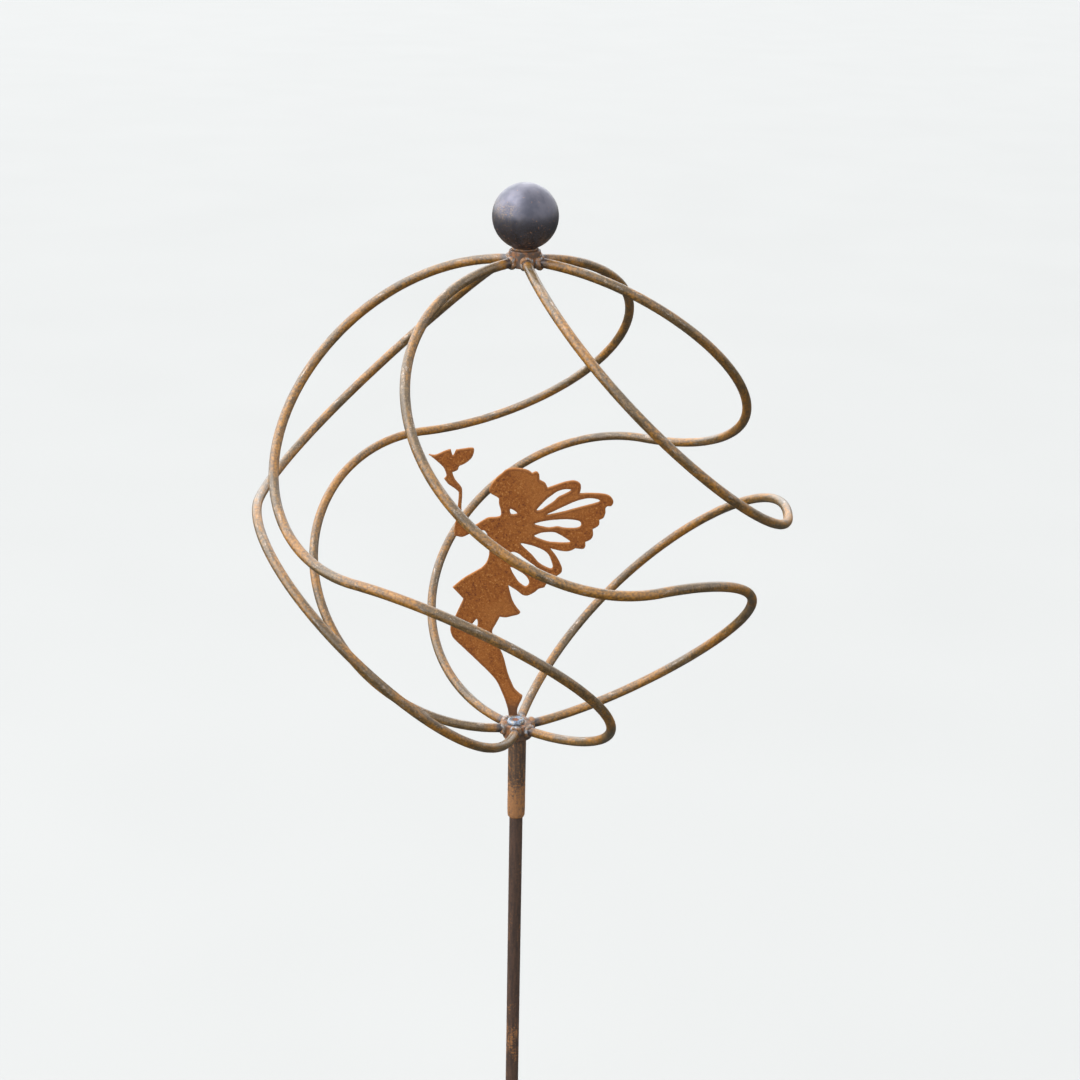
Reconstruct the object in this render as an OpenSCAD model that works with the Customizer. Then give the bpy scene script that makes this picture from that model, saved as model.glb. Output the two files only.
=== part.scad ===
// Kinetic wind sculpture: a cage of six swept rods between two hubs turns on a steel ball
// on top of a garden pole, and carries a fairy cut from plate.
// The origin is on the pole's axis at ground level. +Z is up, and the plate faces -Y.
// Everything on the head is drawn about the cage's centre and lifted by cage_height.

/* [Cage] */
// Height of the cage's centre above the ground
cage_height = 1050; // [800:10:1500]
// Diameter of the round bar that the six rods are bent from
rod_d = 8; // [6:1:9]
// Mean distance of the rods from the cage's centre
cage_r = 214.5; // [190:0.5:240]
// How much wider the cage is at its waist than at its poles
cage_squat = 7.5; // [0:0.5:12]
// How much squarer than a ball the cage's outline is
cage_square = 3; // [0:0.5:6]
// Turn that a rod would make from its middle to one end at a steady rate, in degrees
rod_turn = 109; // [90:1:120]
// How much of that turn the rod gives back as it nears the end, in degrees
rod_ease = 24; // [10:1:30]
// Fall of a rod from the waist towards a pole, in degrees; over 90 it comes in flat
rod_fall = 93.5; // [91:0.5:96]

/* [Hubs and ball] */
// Radius of the two disc hubs
hub_r = 13; // [12:0.5:16]
// Thickness of the two hubs
hub_h = 14; // [12:0.5:18]
// Outer diameter of the hollow ball on top
ball_d = 54; // [40:1:64]
// Wall of the hollow ball
ball_wall = 1.8; // [1:0.1:3]

/* [Fairy plate] */
// Thickness of the steel plate that the fairy is cut from
plate_t = 3; // [2:0.5:4]
// How far behind the cage's axis the middle of the plate stands
plate_y = 9.5; // [9:0.5:10]

/* [Bearing] */
// Outer radius of the socket tube
tube_r = 8; // [8:0.5:9]
// Bore radius of the socket tube
tube_bore_r = 6.5; // [6.4:0.1:6.8]
// Distance of the tube's mouth below the middle of the lower hub
tube_drop = 87; // [70:1:110]
// Radius of the steel ball that the head turns on
bearing_r = 6; // [5.5:0.1:6.2]

/* [Pole and ground fork] */
// Radius of the pole
pole_r = 6; // [5:0.5:6]
// Gap between the ground and the underside of the foot bar
foot_gap = 4; // [2:1:10]
// Length of the foot bar
foot_len = 124; // [100:2:180]
// Radius of the three prongs
prong_r = 4; // [3:0.5:5]
// Depth that the prongs' straight part reaches below the ground
prong_depth = 200; // [120:10:300]

/* [Hidden] */
$fn = 48;

// ---- Cage ----
// The rods are bent and welded by eye. For each rod: how far it sits off its sixth of a turn
// and how much further it turns, in degrees, and how far its waist stands out, in mm
rod_set = [-1, 0, -5, 0, -3, -1];
rod_wind = [-1, 0, -2, 0, 0, 2];
rod_bulge = [1, 0, 0, -2, 1.5, -1.5];
rod_r = rod_d / 2;
cage_pole_r = cage_r - cage_squat + cage_square;
// The rods meet the hubs a little inside the hubs' middle
hub_z = cage_pole_r + 2;
// A rod's end face stops this far from the axis, clear of the hub's round side
rod_end_r = hub_r + 1.3;
rod_end = acos(1 - acos(rod_end_r / cage_pole_r) / rod_fall) / 90;
rod_rings = 56;
rod_sides = 10;
// The flats and corners of the tube stand equally far inside and outside the true round
rod_mesh_r = rod_r / sqrt(cos(180 / rod_sides));

// ---- Beads of weld ----
bead_r = 1.6;
bead_clear = 0.15;
// The beads' faces follow the hub's round side at this distance
bead_gap = 0.05;
// The beads are dressed off in a band this high, level with the hub's inner face
bead_h = 13;
bead_z = hub_z - (hub_h - bead_h) / 2;
fillet_r = 2;
fillet_h = 3;

// ---- Ball ----
ball_z = hub_z + hub_h / 2 + ball_d / 2;

// ---- Bearing ----
tube_top = -hub_z + hub_h / 2;
tube_mouth = -hub_z - tube_drop;
lip_h = 3;
lip_clear = 0.08;
plug_h = 8;
// Depth of the two round cups that hold the bearing ball, and the play in them
cup_depth = 1;
cup_play = 0.1;
bearing_z = tube_top - plug_h - bearing_r + cup_depth;
pole_top = bearing_z - bearing_r + cup_depth;

// ---- Ground fork ----
foot_t = 6;
foot_w = 25;
prong_x = foot_len / 2 - 12;
prong_tip = 25;
// A prong is ground back from this height up, where its weld sits
root_z = 0.5;
root_r = prong_r - 0.3;

// ---- Fairy outline ----
// Millimetres from the foot on the axis: X to the right, Y up. Each run is one smooth
// stretch from corner to corner, and the runs follow each other clockwise round the plate.
arm_and_stem = [[-57, 172], [-57, 180], [-55.5, 188], [-54.5, 197], [-53.5, 210], [-54.5, 213],
                [-59, 216.5], [-62.5, 219], [-66, 223.5]];
flower_left = [[-66, 223.5], [-64, 226.5], [-65.5, 232], [-68, 235.5], [-73, 240], [-79, 245]];
petal_left = [[-79, 245], [-74, 244.5], [-70, 246], [-65, 248.5], [-60.5, 250]];
petal_gap = [[-60.5, 250], [-59, 245], [-58, 245], [-56, 249.5]];
petal_right = [[-56, 249.5], [-50, 250.5], [-44, 251.5], [-41, 251], [-40.5, 248], [-42, 243.5],
               [-45, 240], [-49, 237], [-53, 235], [-54.5, 231.5], [-59, 229.5]];
stem_right = [[-59, 229.5], [-58, 226], [-56, 222], [-51.5, 216.5], [-50.5, 213], [-50.5, 207],
              [-51, 197], [-50, 187], [-46.5, 178.5]];
upper_arm = [[-46.5, 178.5], [-39, 182], [-31.5, 187], [-27.5, 189], [-21.5, 189.5]];
neck = [[-21.5, 189.5], [-17.5, 191], [-17.5, 196.5], [-19, 202], [-19, 206.5]];
face = [[-19, 206.5], [-21.5, 208.5], [-26, 211], [-27.5, 214], [-26.5, 217.5], [-24, 221.5]];
hair = [[-24, 221.5], [-20.5, 226], [-17, 229], [-14, 232], [-9, 234], [-1, 234], [5.5, 232.5],
        [9, 230]];
hair_bun = [[9, 230], [12.5, 231.5], [15, 229], [15.5, 224]];
hair_back = [[15.5, 224], [20, 221.5], [22.5, 217]];
wing_top = [[22.5, 217], [28.5, 219.5], [36.5, 222.5], [43, 224], [47, 223.5], [50, 221.5],
            [51, 218], [50, 212.5]];
wing_point = [[50, 212.5], [57, 213], [64, 213], [71, 212.5], [76, 210.5], [79, 206], [77.5, 202],
              [74, 201.5]];
wing_scallop_1 = [[74, 201.5], [72.5, 200], [72.5, 196], [71, 191], [67.5, 189]];
wing_scallop_2 = [[67.5, 189], [67.5, 185], [65.5, 182.5], [62, 180.5]];
wing_scallop_3 = [[62, 180.5], [62.5, 175], [60.5, 171], [56, 168.5]];
wing_scallop_4 = [[56, 168.5], [56, 164.5], [54, 162], [47.5, 162.5]];
wing_scallop_5 = [[47.5, 162.5], [44, 160.5], [39.5, 159.5], [34.5, 160], [25.5, 162]];
lower_wing = [[25.5, 162], [31.5, 154], [36, 145], [36, 140], [32, 136.5], [26, 132.5],
              [23, 128.5], [21.5, 125.5]];
lower_scallop = [[21.5, 125.5], [16.5, 124], [12.5, 120.5], [6.5, 117.5], [2, 118.5],
                 [-3, 122.5], [-10, 127]];
dress_right = [[-10, 127], [-8.5, 120.5], [-6.5, 113.5], [-3.5, 107.5], [1, 101.5]];
dress_hem = [[1, 101.5], [-1, 99.5], [-6, 98], [-12, 96.5], [-17, 97]];
leg_right = [[-17, 97], [-20, 91], [-23.5, 83], [-21, 75], [-16, 65], [-13, 57], [-11, 49],
             [-9, 41.5], [-6.5, 35], [-3, 27.5], [4, 21]];
heel = [[4, 21], [3, 17], [1, 12.5], [-0.5, 7], [0, 0]];
toe = [[0, 0], [-8, 0]];
leg_left = [[-8, 0], [-9, 8], [-11, 15], [-13.5, 22], [-19, 34.5], [-25.5, 43], [-38.5, 56.5],
            [-52, 70], [-58, 76.5], [-60.5, 84], [-59.5, 90], [-56.5, 96], [-49, 113.5]];
skirt_left = [[-49, 113.5], [-53.5, 118.5], [-58.5, 124]];
waist = [[-58.5, 124], [-49, 132.5], [-39, 139], [-32.5, 143.5], [-28.5, 149.5], [-27, 157],
         [-27.5, 166], [-29, 174]];
underarm = [[-29, 174], [-31, 177], [-34, 177], [-43.5, 174], [-50, 171], [-57, 172]];
FAIRY_RUNS = [arm_and_stem, flower_left, petal_left, petal_gap, petal_right, stem_right,
              upper_arm, neck, face, hair, hair_bun, hair_back, wing_top, wing_point,
              wing_scallop_1, wing_scallop_2, wing_scallop_3, wing_scallop_4, wing_scallop_5,
              lower_wing, lower_scallop, dress_right, dress_hem, leg_right, heel, toe,
              leg_left, skirt_left, waist, underarm];
// Cut-outs between the veins of the wings, under the chin and below the skirt
FAIRY_HOLES = [
    [[13.5, 197], [20.5, 205.5], [25.5, 210], [31, 214], [36.5, 216], [42, 216], [41, 214],
     [32, 209], [28, 205], [22, 200.5], [17, 197]],
    [[22, 192.5], [29, 196.5], [36.5, 200.5], [44.5, 204.5], [51, 207], [58.5, 208.5],
     [66, 207.5], [66, 205], [53, 201], [45, 198.5], [37, 196]],
    [[12, 183.5], [15, 185.5], [23.5, 187.5], [31.5, 188.5], [39.5, 189], [46.5, 188.5],
     [51, 187], [51.5, 183], [47, 181], [37, 181], [31.5, 182], [23.5, 181]],
    [[12, 172.5], [15, 175], [19.5, 176.5], [26, 177], [31.5, 176], [42, 169.5], [41, 167.5],
     [29.5, 167.5], [22, 168.5]],
    [[0, 165.5], [7, 165], [15, 162.5], [21, 159.5], [25, 155], [28, 146.5], [27, 143],
     [20.5, 145.5], [15.5, 149], [10, 155.5]],
    [[-8, 157.5], [-2.5, 157], [4, 152], [12, 146], [22, 138.5], [17.5, 137.5], [8, 143],
     [-2.5, 150.5]],
    [[-8.5, 143.5], [-2, 141], [5, 136], [8, 130], [5.5, 126], [2, 127.5], [-2.5, 132]],
    [[-9, 197.5], [-3, 193.5], [-8.5, 192.5]],
    [[-37.5, 94.5], [-36.5, 90], [-38, 85], [-42, 87]]];
curve_steps = 4;

// ---- Rod path ----
// s runs from -1 at the top pole through 0 at the waist to 1 at the bottom pole
function rod_lift(s) = -sign(s) * rod_fall * (1 - cos(90 * s));
function rod_bearing(i, s) =
    60 * i + rod_set[i] + (rod_turn + rod_wind[i]) * s - rod_ease * pow(s, 3);
function rod_reach(i, s) =
    cage_r + cage_squat * cos(180 * s) + cage_square * cos(360 * s)
        + rod_bulge[i] * (1 - pow(s, 4));
function rod_point(i, s) =
    rod_reach(i, s) * [cos(rod_lift(s)) * cos(rod_bearing(i, s)),
                       cos(rod_lift(s)) * sin(rod_bearing(i, s)),
                       sin(rod_lift(s))];
function unit(v) = v / norm(v);

// One ring of the tube, square to the path and keyed to the line from the cage's centre
function ring(p, along) =
    let (side = unit(cross(along, p)), out = cross(side, along))
    [for (j = [0 : rod_sides - 1])
        p + rod_mesh_r * (cos(360 * j / rod_sides) * out + sin(360 * j / rod_sides) * side)];
function rod_along(i, s) = unit(rod_point(i, s + 0.001) - rod_point(i, s - 0.001));

module cage_rod(i) {
    stations = [for (k = [0 : rod_rings]) rod_end * (2 * k / rod_rings - 1)];
    points = [for (s = stations) each ring(rod_point(i, s), rod_along(i, s))];
    last = rod_rings * rod_sides;
    walls = [for (k = [0 : rod_rings - 1], j = [0 : rod_sides - 1])
        let (a = k * rod_sides + j, b = k * rod_sides + (j + 1) % rod_sides)
        each [[a, a + rod_sides, b + rod_sides], [a, b + rod_sides, b]]];
    start_cap = [for (j = [0 : rod_sides - 1]) j];
    end_cap = [for (j = [rod_sides - 1 : -1 : 0]) last + j];
    translate([0, 0, cage_height])
        polyhedron(points = points, faces = concat(walls, [start_cap, end_cap]), convexity = 6);
}

// A bead of weld round a rod's lower end, trimmed to the hub's side and inner face
module rod_bead(i) {
    end = rod_point(i, rod_end);
    out = -rod_along(i, rod_end);
    intersection() {
        difference() {
            translate(end - 0.6 * out)
                rotate([0, acos(out[2]), atan2(out[1], out[0])])
                    difference() {
                        rotate_extrude() translate([rod_r + 0.4, 0]) circle(r = bead_r);
                        cylinder(r = rod_mesh_r + bead_clear, h = 4 * bead_r, center = true);
                    }
            translate([0, 0, -bead_z])
                cylinder(r = hub_r + bead_gap, h = 2 * bead_h, center = true);
        }
        translate([0, 0, -bead_z]) cylinder(r = 2 * hub_r, h = bead_h, center = true);
    }
}

module lower_rod_beads() {
    translate([0, 0, cage_height])
        for (i = [0 : 5]) rod_bead(i);
}

// Half a turn about the level line through its waist brings a rod's lower end to its top end
module top_rod_beads() {
    translate([0, 0, cage_height])
        for (i = [0 : 5])
            rotate(180, [cos(60 * i + rod_set[i]), sin(60 * i + rod_set[i]), 0]) rod_bead(i);
}

module ball_finial() {
    color("dimgray")
        translate([0, 0, cage_height + ball_z])
            difference() {
                sphere(d = ball_d, $fn = 96);
                sphere(d = ball_d - 2 * ball_wall, $fn = 96);
            }
}

module ball_weld() {
    color("sienna")
        translate([0, 0, cage_height])
            difference() {
                translate([0, 0, ball_z - ball_d / 2 + 0.8])
                    rotate_extrude() translate([hub_r - 4.5, 0]) circle(r = fillet_r);
                translate([0, 0, ball_z]) sphere(d = ball_d, $fn = 96);
                translate([0, 0, hub_z]) cylinder(r = 2 * hub_r, h = hub_h, center = true);
            }
}

module top_hub() {
    color("saddlebrown")
        translate([0, 0, cage_height + hub_z])
            cylinder(r = hub_r, h = hub_h, center = true);
}

module lower_hub() {
    color("saddlebrown")
        translate([0, 0, cage_height - hub_z])
            difference() {
                cylinder(r = hub_r, h = hub_h, center = true);
                cylinder(r = tube_r, h = hub_h + 2, center = true);
            }
}

// ---- Fairy ----
// A point of the run with its ends held, and the smooth curve between two of its points
function held(run, i) = run[max(0, min(len(run) - 1, i))];
function blend(a, b, c, d, t) =
    0.5 * (2 * b + (c - a) * t + (2 * a - 5 * b + 4 * c - d) * t * t
        + (3 * b - a - 3 * c + d) * t * t * t);
function smooth_run(run) = len(run) < 3 ? [run[0]] :
    [for (i = [0 : len(run) - 2], k = [0 : curve_steps - 1])
        blend(held(run, i - 1), run[i], run[i + 1], held(run, i + 2), k / curve_steps)];
function looped(ring, i) = ring[(i + len(ring)) % len(ring)];
function smooth_loop(ring) =
    [for (i = [0 : len(ring) - 1], k = [0 : curve_steps - 1])
        blend(looped(ring, i - 1), ring[i], looped(ring, i + 1), looped(ring, i + 2),
            k / curve_steps)];

module fairy_silhouette() {
    color("chocolate")
        translate([0, plate_y + plate_t / 2, cage_height + tube_top])
            rotate([90, 0, 0])
                linear_extrude(height = plate_t)
                    difference() {
                        polygon([for (run = FAIRY_RUNS) each smooth_run(run)]);
                        for (hole = FAIRY_HOLES) polygon(smooth_loop(hole));
                    }
}

// Two fillets, one each side of the plate's foot, on top of the lower hub
module fairy_weld() {
    color("peru")
        translate([-4, plate_y, cage_height + tube_top])
            difference() {
                rotate([0, 90, 0]) cylinder(r = plate_t / 2 + 1.5, h = 9, center = true);
                cube([20, plate_t, 20], center = true);
                translate([0, 0, -5]) cube([20, 20, 10], center = true);
            }
}

// ---- Bearing ----
module socket_tube() {
    color("saddlebrown")
        translate([0, 0, cage_height])
            rotate_extrude()
                polygon([[tube_bore_r, tube_top],
                         [tube_r, tube_top],
                         [tube_r, tube_mouth + 2 * lip_h],
                         [tube_r - 0.3, tube_mouth + lip_h / 2],
                         [tube_r - 0.9, tube_mouth],
                         [pole_r + lip_clear, tube_mouth],
                         [pole_r + lip_clear, tube_mouth + lip_h],
                         [tube_bore_r, tube_mouth + 2 * lip_h]]);
}

module tube_plug() {
    color("saddlebrown")
        translate([0, 0, cage_height])
            difference() {
                translate([0, 0, tube_top - plug_h]) cylinder(r = tube_bore_r, h = plug_h);
                translate([0, 0, bearing_z]) sphere(r = bearing_r + cup_play);
            }
}

// The ring of weld that closes the tube's top, cut back where the fairy's foot stands
module plug_weld() {
    color("lightsteelblue")
        translate([0, 0, cage_height + tube_top])
            difference() {
                rotate_extrude() translate([tube_r - 2, 0]) circle(r = 1.8);
                translate([0, 0, -5]) cube([40, 40, 10], center = true);
                translate([0, plate_y + 10 - plate_t / 2 - 1.5, 0])
                    cube([40, 20, 20], center = true);
            }
}

module collar_weld() {
    color("sienna")
        translate([0, 0, cage_height - hub_z - hub_h / 2])
            rotate_extrude()
                polygon([[tube_r, 0], [tube_r + fillet_r, 0], [tube_r + 0.8, -0.8],
                         [tube_r, -fillet_r]]);
}

module bearing_ball() {
    color("silver")
        translate([0, 0, cage_height + bearing_z]) sphere(r = bearing_r);
}

// ---- Pole and ground fork ----
module pole() {
    foot = foot_gap + foot_t;
    top = cage_height + pole_top;
    color("dimgray")
        difference() {
            rotate_extrude()
                polygon([[0, foot], [pole_r, foot], [pole_r, top - 1], [pole_r - 0.7, top],
                         [0, top]]);
            translate([0, 0, cage_height + bearing_z]) sphere(r = bearing_r + cup_play);
        }
}

// A run of weld round a bar where it meets a flat face. way is 1 above the face, -1 below it
module fillet_ring(inner, way) {
    rotate_extrude()
        polygon([[inner, 0], [inner + fillet_h, 0], [inner + 1, way], [inner, way * fillet_h]]);
}

module pole_weld() {
    color("sienna")
        translate([0, 0, foot_gap + foot_t]) fillet_ring(pole_r, 1);
}

module foot_bar() {
    color("dimgray")
        translate([0, 0, foot_gap])
            difference() {
                translate([-foot_len / 2, -foot_w / 2, 0]) cube([foot_len, foot_w, foot_t]);
                for (side = [-1, 1], edge = [-1, 1])
                    translate([side * foot_len / 2, edge * foot_w / 2, 0])
                        rotate([0, 0, 45]) cube([7, 7, 3 * foot_t], center = true);
            }
}

module prong(x) {
    color("dimgray")
        translate([x, 0, -prong_depth]) {
            cylinder(r = prong_r, h = prong_depth + root_z);
            cylinder(r = root_r, h = prong_depth + foot_gap);
            translate([0, 0, -prong_tip]) cylinder(r1 = 0.8, r2 = prong_r, h = prong_tip);
        }
}

module prong_welds() {
    color("sienna")
        for (x = [-prong_x, 0, prong_x])
            translate([x, 0, foot_gap]) fillet_ring(root_r, -1);
}

ball_finial();
ball_weld();
top_hub();
color("peru") top_rod_beads();  // top_rod_welds
color("sienna") cage_rod(0);  // cage_rod_1
color("sienna") cage_rod(1);  // cage_rod_2
color("sienna") cage_rod(2);  // cage_rod_3
color("sienna") cage_rod(3);  // cage_rod_4
color("sienna") cage_rod(4);  // cage_rod_5
color("sienna") cage_rod(5);  // cage_rod_6
fairy_silhouette();
fairy_weld();
lower_hub();
color("peru") lower_rod_beads();  // lower_rod_welds
socket_tube();
tube_plug();
plug_weld();
collar_weld();
bearing_ball();
pole();
pole_weld();
foot_bar();
prong(-prong_x);  // prong_left
prong(0);  // prong_middle
prong(prong_x);  // prong_right
prong_welds();
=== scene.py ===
"""Finishes the kinetic wind sculpture for display.

Six bent rods, two hubs, a hollow ball and a fairy cut from plate turn on a steel ball in a
socket on top of a garden pole, which stands on a three-pronged ground fork. Every piece is
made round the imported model, in metres, with +Z up and the origin on the pole's axis at
ground level.
"""

from __future__ import annotations

import logging
import math
from collections.abc import Callable, Iterable, Sequence
from dataclasses import dataclass, field
from enum import Enum

import bmesh
import bpy
import numpy as np
from mathutils import Matrix, Vector, geometry, noise


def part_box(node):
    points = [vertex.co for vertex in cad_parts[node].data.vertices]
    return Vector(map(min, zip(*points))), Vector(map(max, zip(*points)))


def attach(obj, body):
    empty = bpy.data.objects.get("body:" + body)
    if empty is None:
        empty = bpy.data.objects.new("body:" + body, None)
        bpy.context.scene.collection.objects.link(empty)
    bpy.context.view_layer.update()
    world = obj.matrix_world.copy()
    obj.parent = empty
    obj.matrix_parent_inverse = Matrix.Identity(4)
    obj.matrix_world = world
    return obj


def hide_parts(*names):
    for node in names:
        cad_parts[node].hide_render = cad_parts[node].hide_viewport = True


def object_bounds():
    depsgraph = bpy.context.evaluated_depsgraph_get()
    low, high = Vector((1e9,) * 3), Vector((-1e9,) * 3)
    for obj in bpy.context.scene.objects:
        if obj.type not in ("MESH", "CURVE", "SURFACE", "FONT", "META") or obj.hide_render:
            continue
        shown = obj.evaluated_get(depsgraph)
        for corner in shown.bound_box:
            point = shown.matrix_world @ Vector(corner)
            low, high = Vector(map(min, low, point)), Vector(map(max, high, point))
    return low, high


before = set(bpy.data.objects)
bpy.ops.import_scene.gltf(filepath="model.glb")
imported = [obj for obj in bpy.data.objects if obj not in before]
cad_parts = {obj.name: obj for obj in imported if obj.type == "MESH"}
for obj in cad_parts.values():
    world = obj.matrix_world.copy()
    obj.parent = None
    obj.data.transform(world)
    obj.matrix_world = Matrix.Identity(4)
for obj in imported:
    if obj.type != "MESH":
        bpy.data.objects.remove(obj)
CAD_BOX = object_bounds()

MM = 0.001
TURN = 2 * math.pi
PRONGS = ("prong_left", "prong_middle", "prong_right")

log = logging.getLogger("wind_sculpture")

Colour = tuple[float, float, float]
Relief = Callable[[Vector], float]


class Pole(Enum):
    """Which end of the cage a hub stands at, and the sign of the rods' run there."""

    TOP = -1
    LOWER = 1


class Slot(Enum):
    """The finishes, by name."""

    ROD = "rod_steel"
    PLATE = "rust_plate"
    BALL = "ball_steel"
    HUB = "hub_steel"
    BEAD = "weld_bead"
    BRIGHT = "bright_weld"
    POLE = "pole_steel"
    BEARING = "bearing_steel"


# ---------------------------------------------------------------------------------------
# Shader nodes
# ---------------------------------------------------------------------------------------


class Wire:
    """A shader's number, colour or vector that can be used in Python arithmetic."""

    def __init__(self, shader: Shader, socket: bpy.types.NodeSocket) -> None:
        """Wraps one output socket of a shader's node.

        Args:
            shader: the shader that owns the node.
            socket: the output that this wire carries on.
        """
        self.shader = shader
        self.socket = socket

    def _math(self, operation: str, first: Wire | float, second: Wire | float) -> Wire:
        """Adds a Math node and gives its result."""
        node = self.shader.node("ShaderNodeMath", {"operation": operation}, {0: first, 1: second})
        return Wire(self.shader, node.outputs[0])

    def __add__(self, other: Wire | float) -> Wire:
        """This number plus another."""
        return self._math("ADD", self, other)

    __radd__ = __add__

    def __sub__(self, other: Wire | float) -> Wire:
        """This number less another."""
        return self._math("SUBTRACT", self, other)

    def __rsub__(self, other: Wire | float) -> Wire:
        """Another number less this one."""
        return self._math("SUBTRACT", other, self)

    def __mul__(self, other: Wire | float) -> Wire:
        """This number times another."""
        return self._math("MULTIPLY", self, other)

    __rmul__ = __mul__

    def most(self, other: Wire | float) -> Wire:
        """The larger of this number and another."""
        return self._math("MAXIMUM", self, other)


Value = Wire | float | Sequence[float]


class Shader:
    """The node tree of a material or of the world, with the few nodes that these finishes use."""

    def __init__(self, owner: bpy.types.Material | bpy.types.World) -> None:
        """Empties the owner's tree.

        Args:
            owner: what the tree belongs to.
        """
        owner.use_nodes = True
        self.owner = owner
        self.tree = owner.node_tree
        self.tree.nodes.clear()

    @classmethod
    def called(cls, name: str) -> Shader:
        """Starts a new material."""
        return cls(bpy.data.materials.new(name))

    def node(
        self, kind: str, settings: dict[str, object], sockets: dict[int | str, Value]
    ) -> bpy.types.Node:
        """Adds a node, sets it up and then fills its sockets.

        Args:
            kind: the node's type.
            settings: its own settings; stops are a colour ramp's places and colours.
            sockets: values or wires by a socket's number, name or identifier.

        Returns:
            The new node.
        """
        made = self.tree.nodes.new(kind)
        for key, setting in settings.items():
            if key == "stops":
                self._set_stops(made.color_ramp, setting)
            else:
                setattr(made, key, setting)
        named = {socket.identifier: socket for socket in made.inputs}
        for key, value in sockets.items():
            socket = named[key] if key in named else made.inputs[key]
            if isinstance(value, Wire):
                self.tree.links.new(value.socket, socket)
            elif socket.type == "RGBA":
                socket.default_value = (*value, 1.0)
            else:
                socket.default_value = value
        return made

    @staticmethod
    def _set_stops(ramp: bpy.types.ColorRamp, stops: Sequence[tuple[float, Colour]]) -> None:
        """Gives a colour ramp its stops.

        Args:
            ramp: the ramp of a new node, which has two stops.
            stops: (place, colour) from the lowest place up.
        """
        while len(ramp.elements) < len(stops):
            ramp.elements.new(1.0)
        for element, (place, colour) in zip(ramp.elements, stops):
            element.position = place
            element.color = (*colour, 1.0)

    def place(self) -> Wire:
        """The point on the piece at rest, in metres."""
        return Wire(self, self.node("ShaderNodeTexCoord", {}, {}).outputs["Object"])

    def stored(self, name: str, output: str) -> Wire:
        """A value that the mesh stores by name: Vector gives a point, Fac a number."""
        node = self.node("ShaderNodeAttribute", {"attribute_name": name}, {})
        return Wire(self, node.outputs[output])

    def parts(self, vector: Wire) -> tuple[Wire, Wire, Wire]:
        """A vector's X, Y and Z."""
        node = self.node("ShaderNodeSeparateXYZ", {}, {0: vector})
        return tuple(Wire(self, output) for output in node.outputs)

    def scaled(self, vector: Wire, by: Sequence[float]) -> Wire:
        """A vector with its three numbers multiplied by three factors."""
        node = self.node("ShaderNodeVectorMath", {"operation": "MULTIPLY"}, {0: vector, 1: by})
        return Wire(self, node.outputs[0])

    def moved(self, vector: Wire, by: Sequence[float]) -> Wire:
        """A vector with another added."""
        node = self.node("ShaderNodeVectorMath", {"operation": "ADD"}, {0: vector, 1: by})
        return Wire(self, node.outputs[0])

    def length(self, vector: Wire) -> Wire:
        """A vector's length."""
        node = self.node("ShaderNodeVectorMath", {"operation": "LENGTH"}, {0: vector})
        return Wire(self, node.outputs["Value"])

    def mottle(self, at: Wire, size: float, detail: float = 2.0, rough: float = 0.55) -> Wire:
        """Cloudy noise round 0.5, with clouds size apart and finer layers as strong as rough."""
        sockets = {"Vector": at, "Scale": 1 / size, "Detail": detail, "Roughness": rough}
        return Wire(self, self.node("ShaderNodeTexNoise", {}, sockets).outputs[0])

    def grains(self, at: Wire, size: float) -> Wire:
        """The distance to the nearest of many points scattered size apart, as a share of size."""
        sockets = {"Vector": at, "Scale": 1 / size, "Randomness": 1.0}
        return Wire(self, self.node("ShaderNodeTexVoronoi", {}, sockets).outputs["Distance"])

    def ease(self, value: Wire, low: float, high: float) -> Wire:
        """A soft step.

        Args:
            value: the number that is stepped.
            low: where the step begins, or ends if it is the larger.
            high: where the other side of the step is.

        Returns:
            0 at low, 1 at high.
        """
        settings = {"interpolation_type": "SMOOTHSTEP", "clamp": True}
        sockets = {"Value": value, "From Min": low, "From Max": high}
        return Wire(self, self.node("ShaderNodeMapRange", settings, sockets).outputs[0])

    def ramp(self, value: Wire, stops: Sequence[tuple[float, Colour]]) -> Wire:
        """The colour that a number picks from stops of (place, colour)."""
        node = self.node("ShaderNodeValToRGB", {"stops": stops}, {0: value})
        return Wire(self, node.outputs["Color"])

    def mix(self, share: Wire | float, first: Wire | Colour, second: Wire | Colour) -> Wire:
        """One colour over another.

        Args:
            share: how much of the second shows.
            first: the colour below.
            second: the colour on top.

        Returns:
            The mixed colour.
        """
        sockets = {"Factor_Float": share, "A_Color": first, "B_Color": second}
        node = self.node("ShaderNodeMix", {"data_type": "RGBA"}, sockets)
        return Wire(self, node.outputs[2])

    def shade(self, colour: Wire | Colour, by: Wire) -> Wire:
        """A colour multiplied by a number."""
        node = self.node("ShaderNodeVectorMath", {"operation": "SCALE"}, {0: colour, "Scale": by})
        return Wire(self, node.outputs[0])

    def blend(self, share: Wire, first: Wire | float, second: Wire | float) -> Wire:
        """A number that goes from first to second as share goes from 0 to 1."""
        return first + share * (second - first)

    def bump(self, height: Wire, depth: float, below: Wire | None = None) -> Wire:
        """Relief in the light only.

        Args:
            height: from 0 to 1.
            depth: how far 1 stands over 0, in metres.
            below: a coarser bump under this one.

        Returns:
            The normal.
        """
        sockets: dict[int | str, Value] = {"Strength": 1.0, "Distance": depth, "Height": height}
        if below is not None:
            sockets["Normal"] = below
        return Wire(self, self.node("ShaderNodeBump", {}, sockets).outputs[0])

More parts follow.
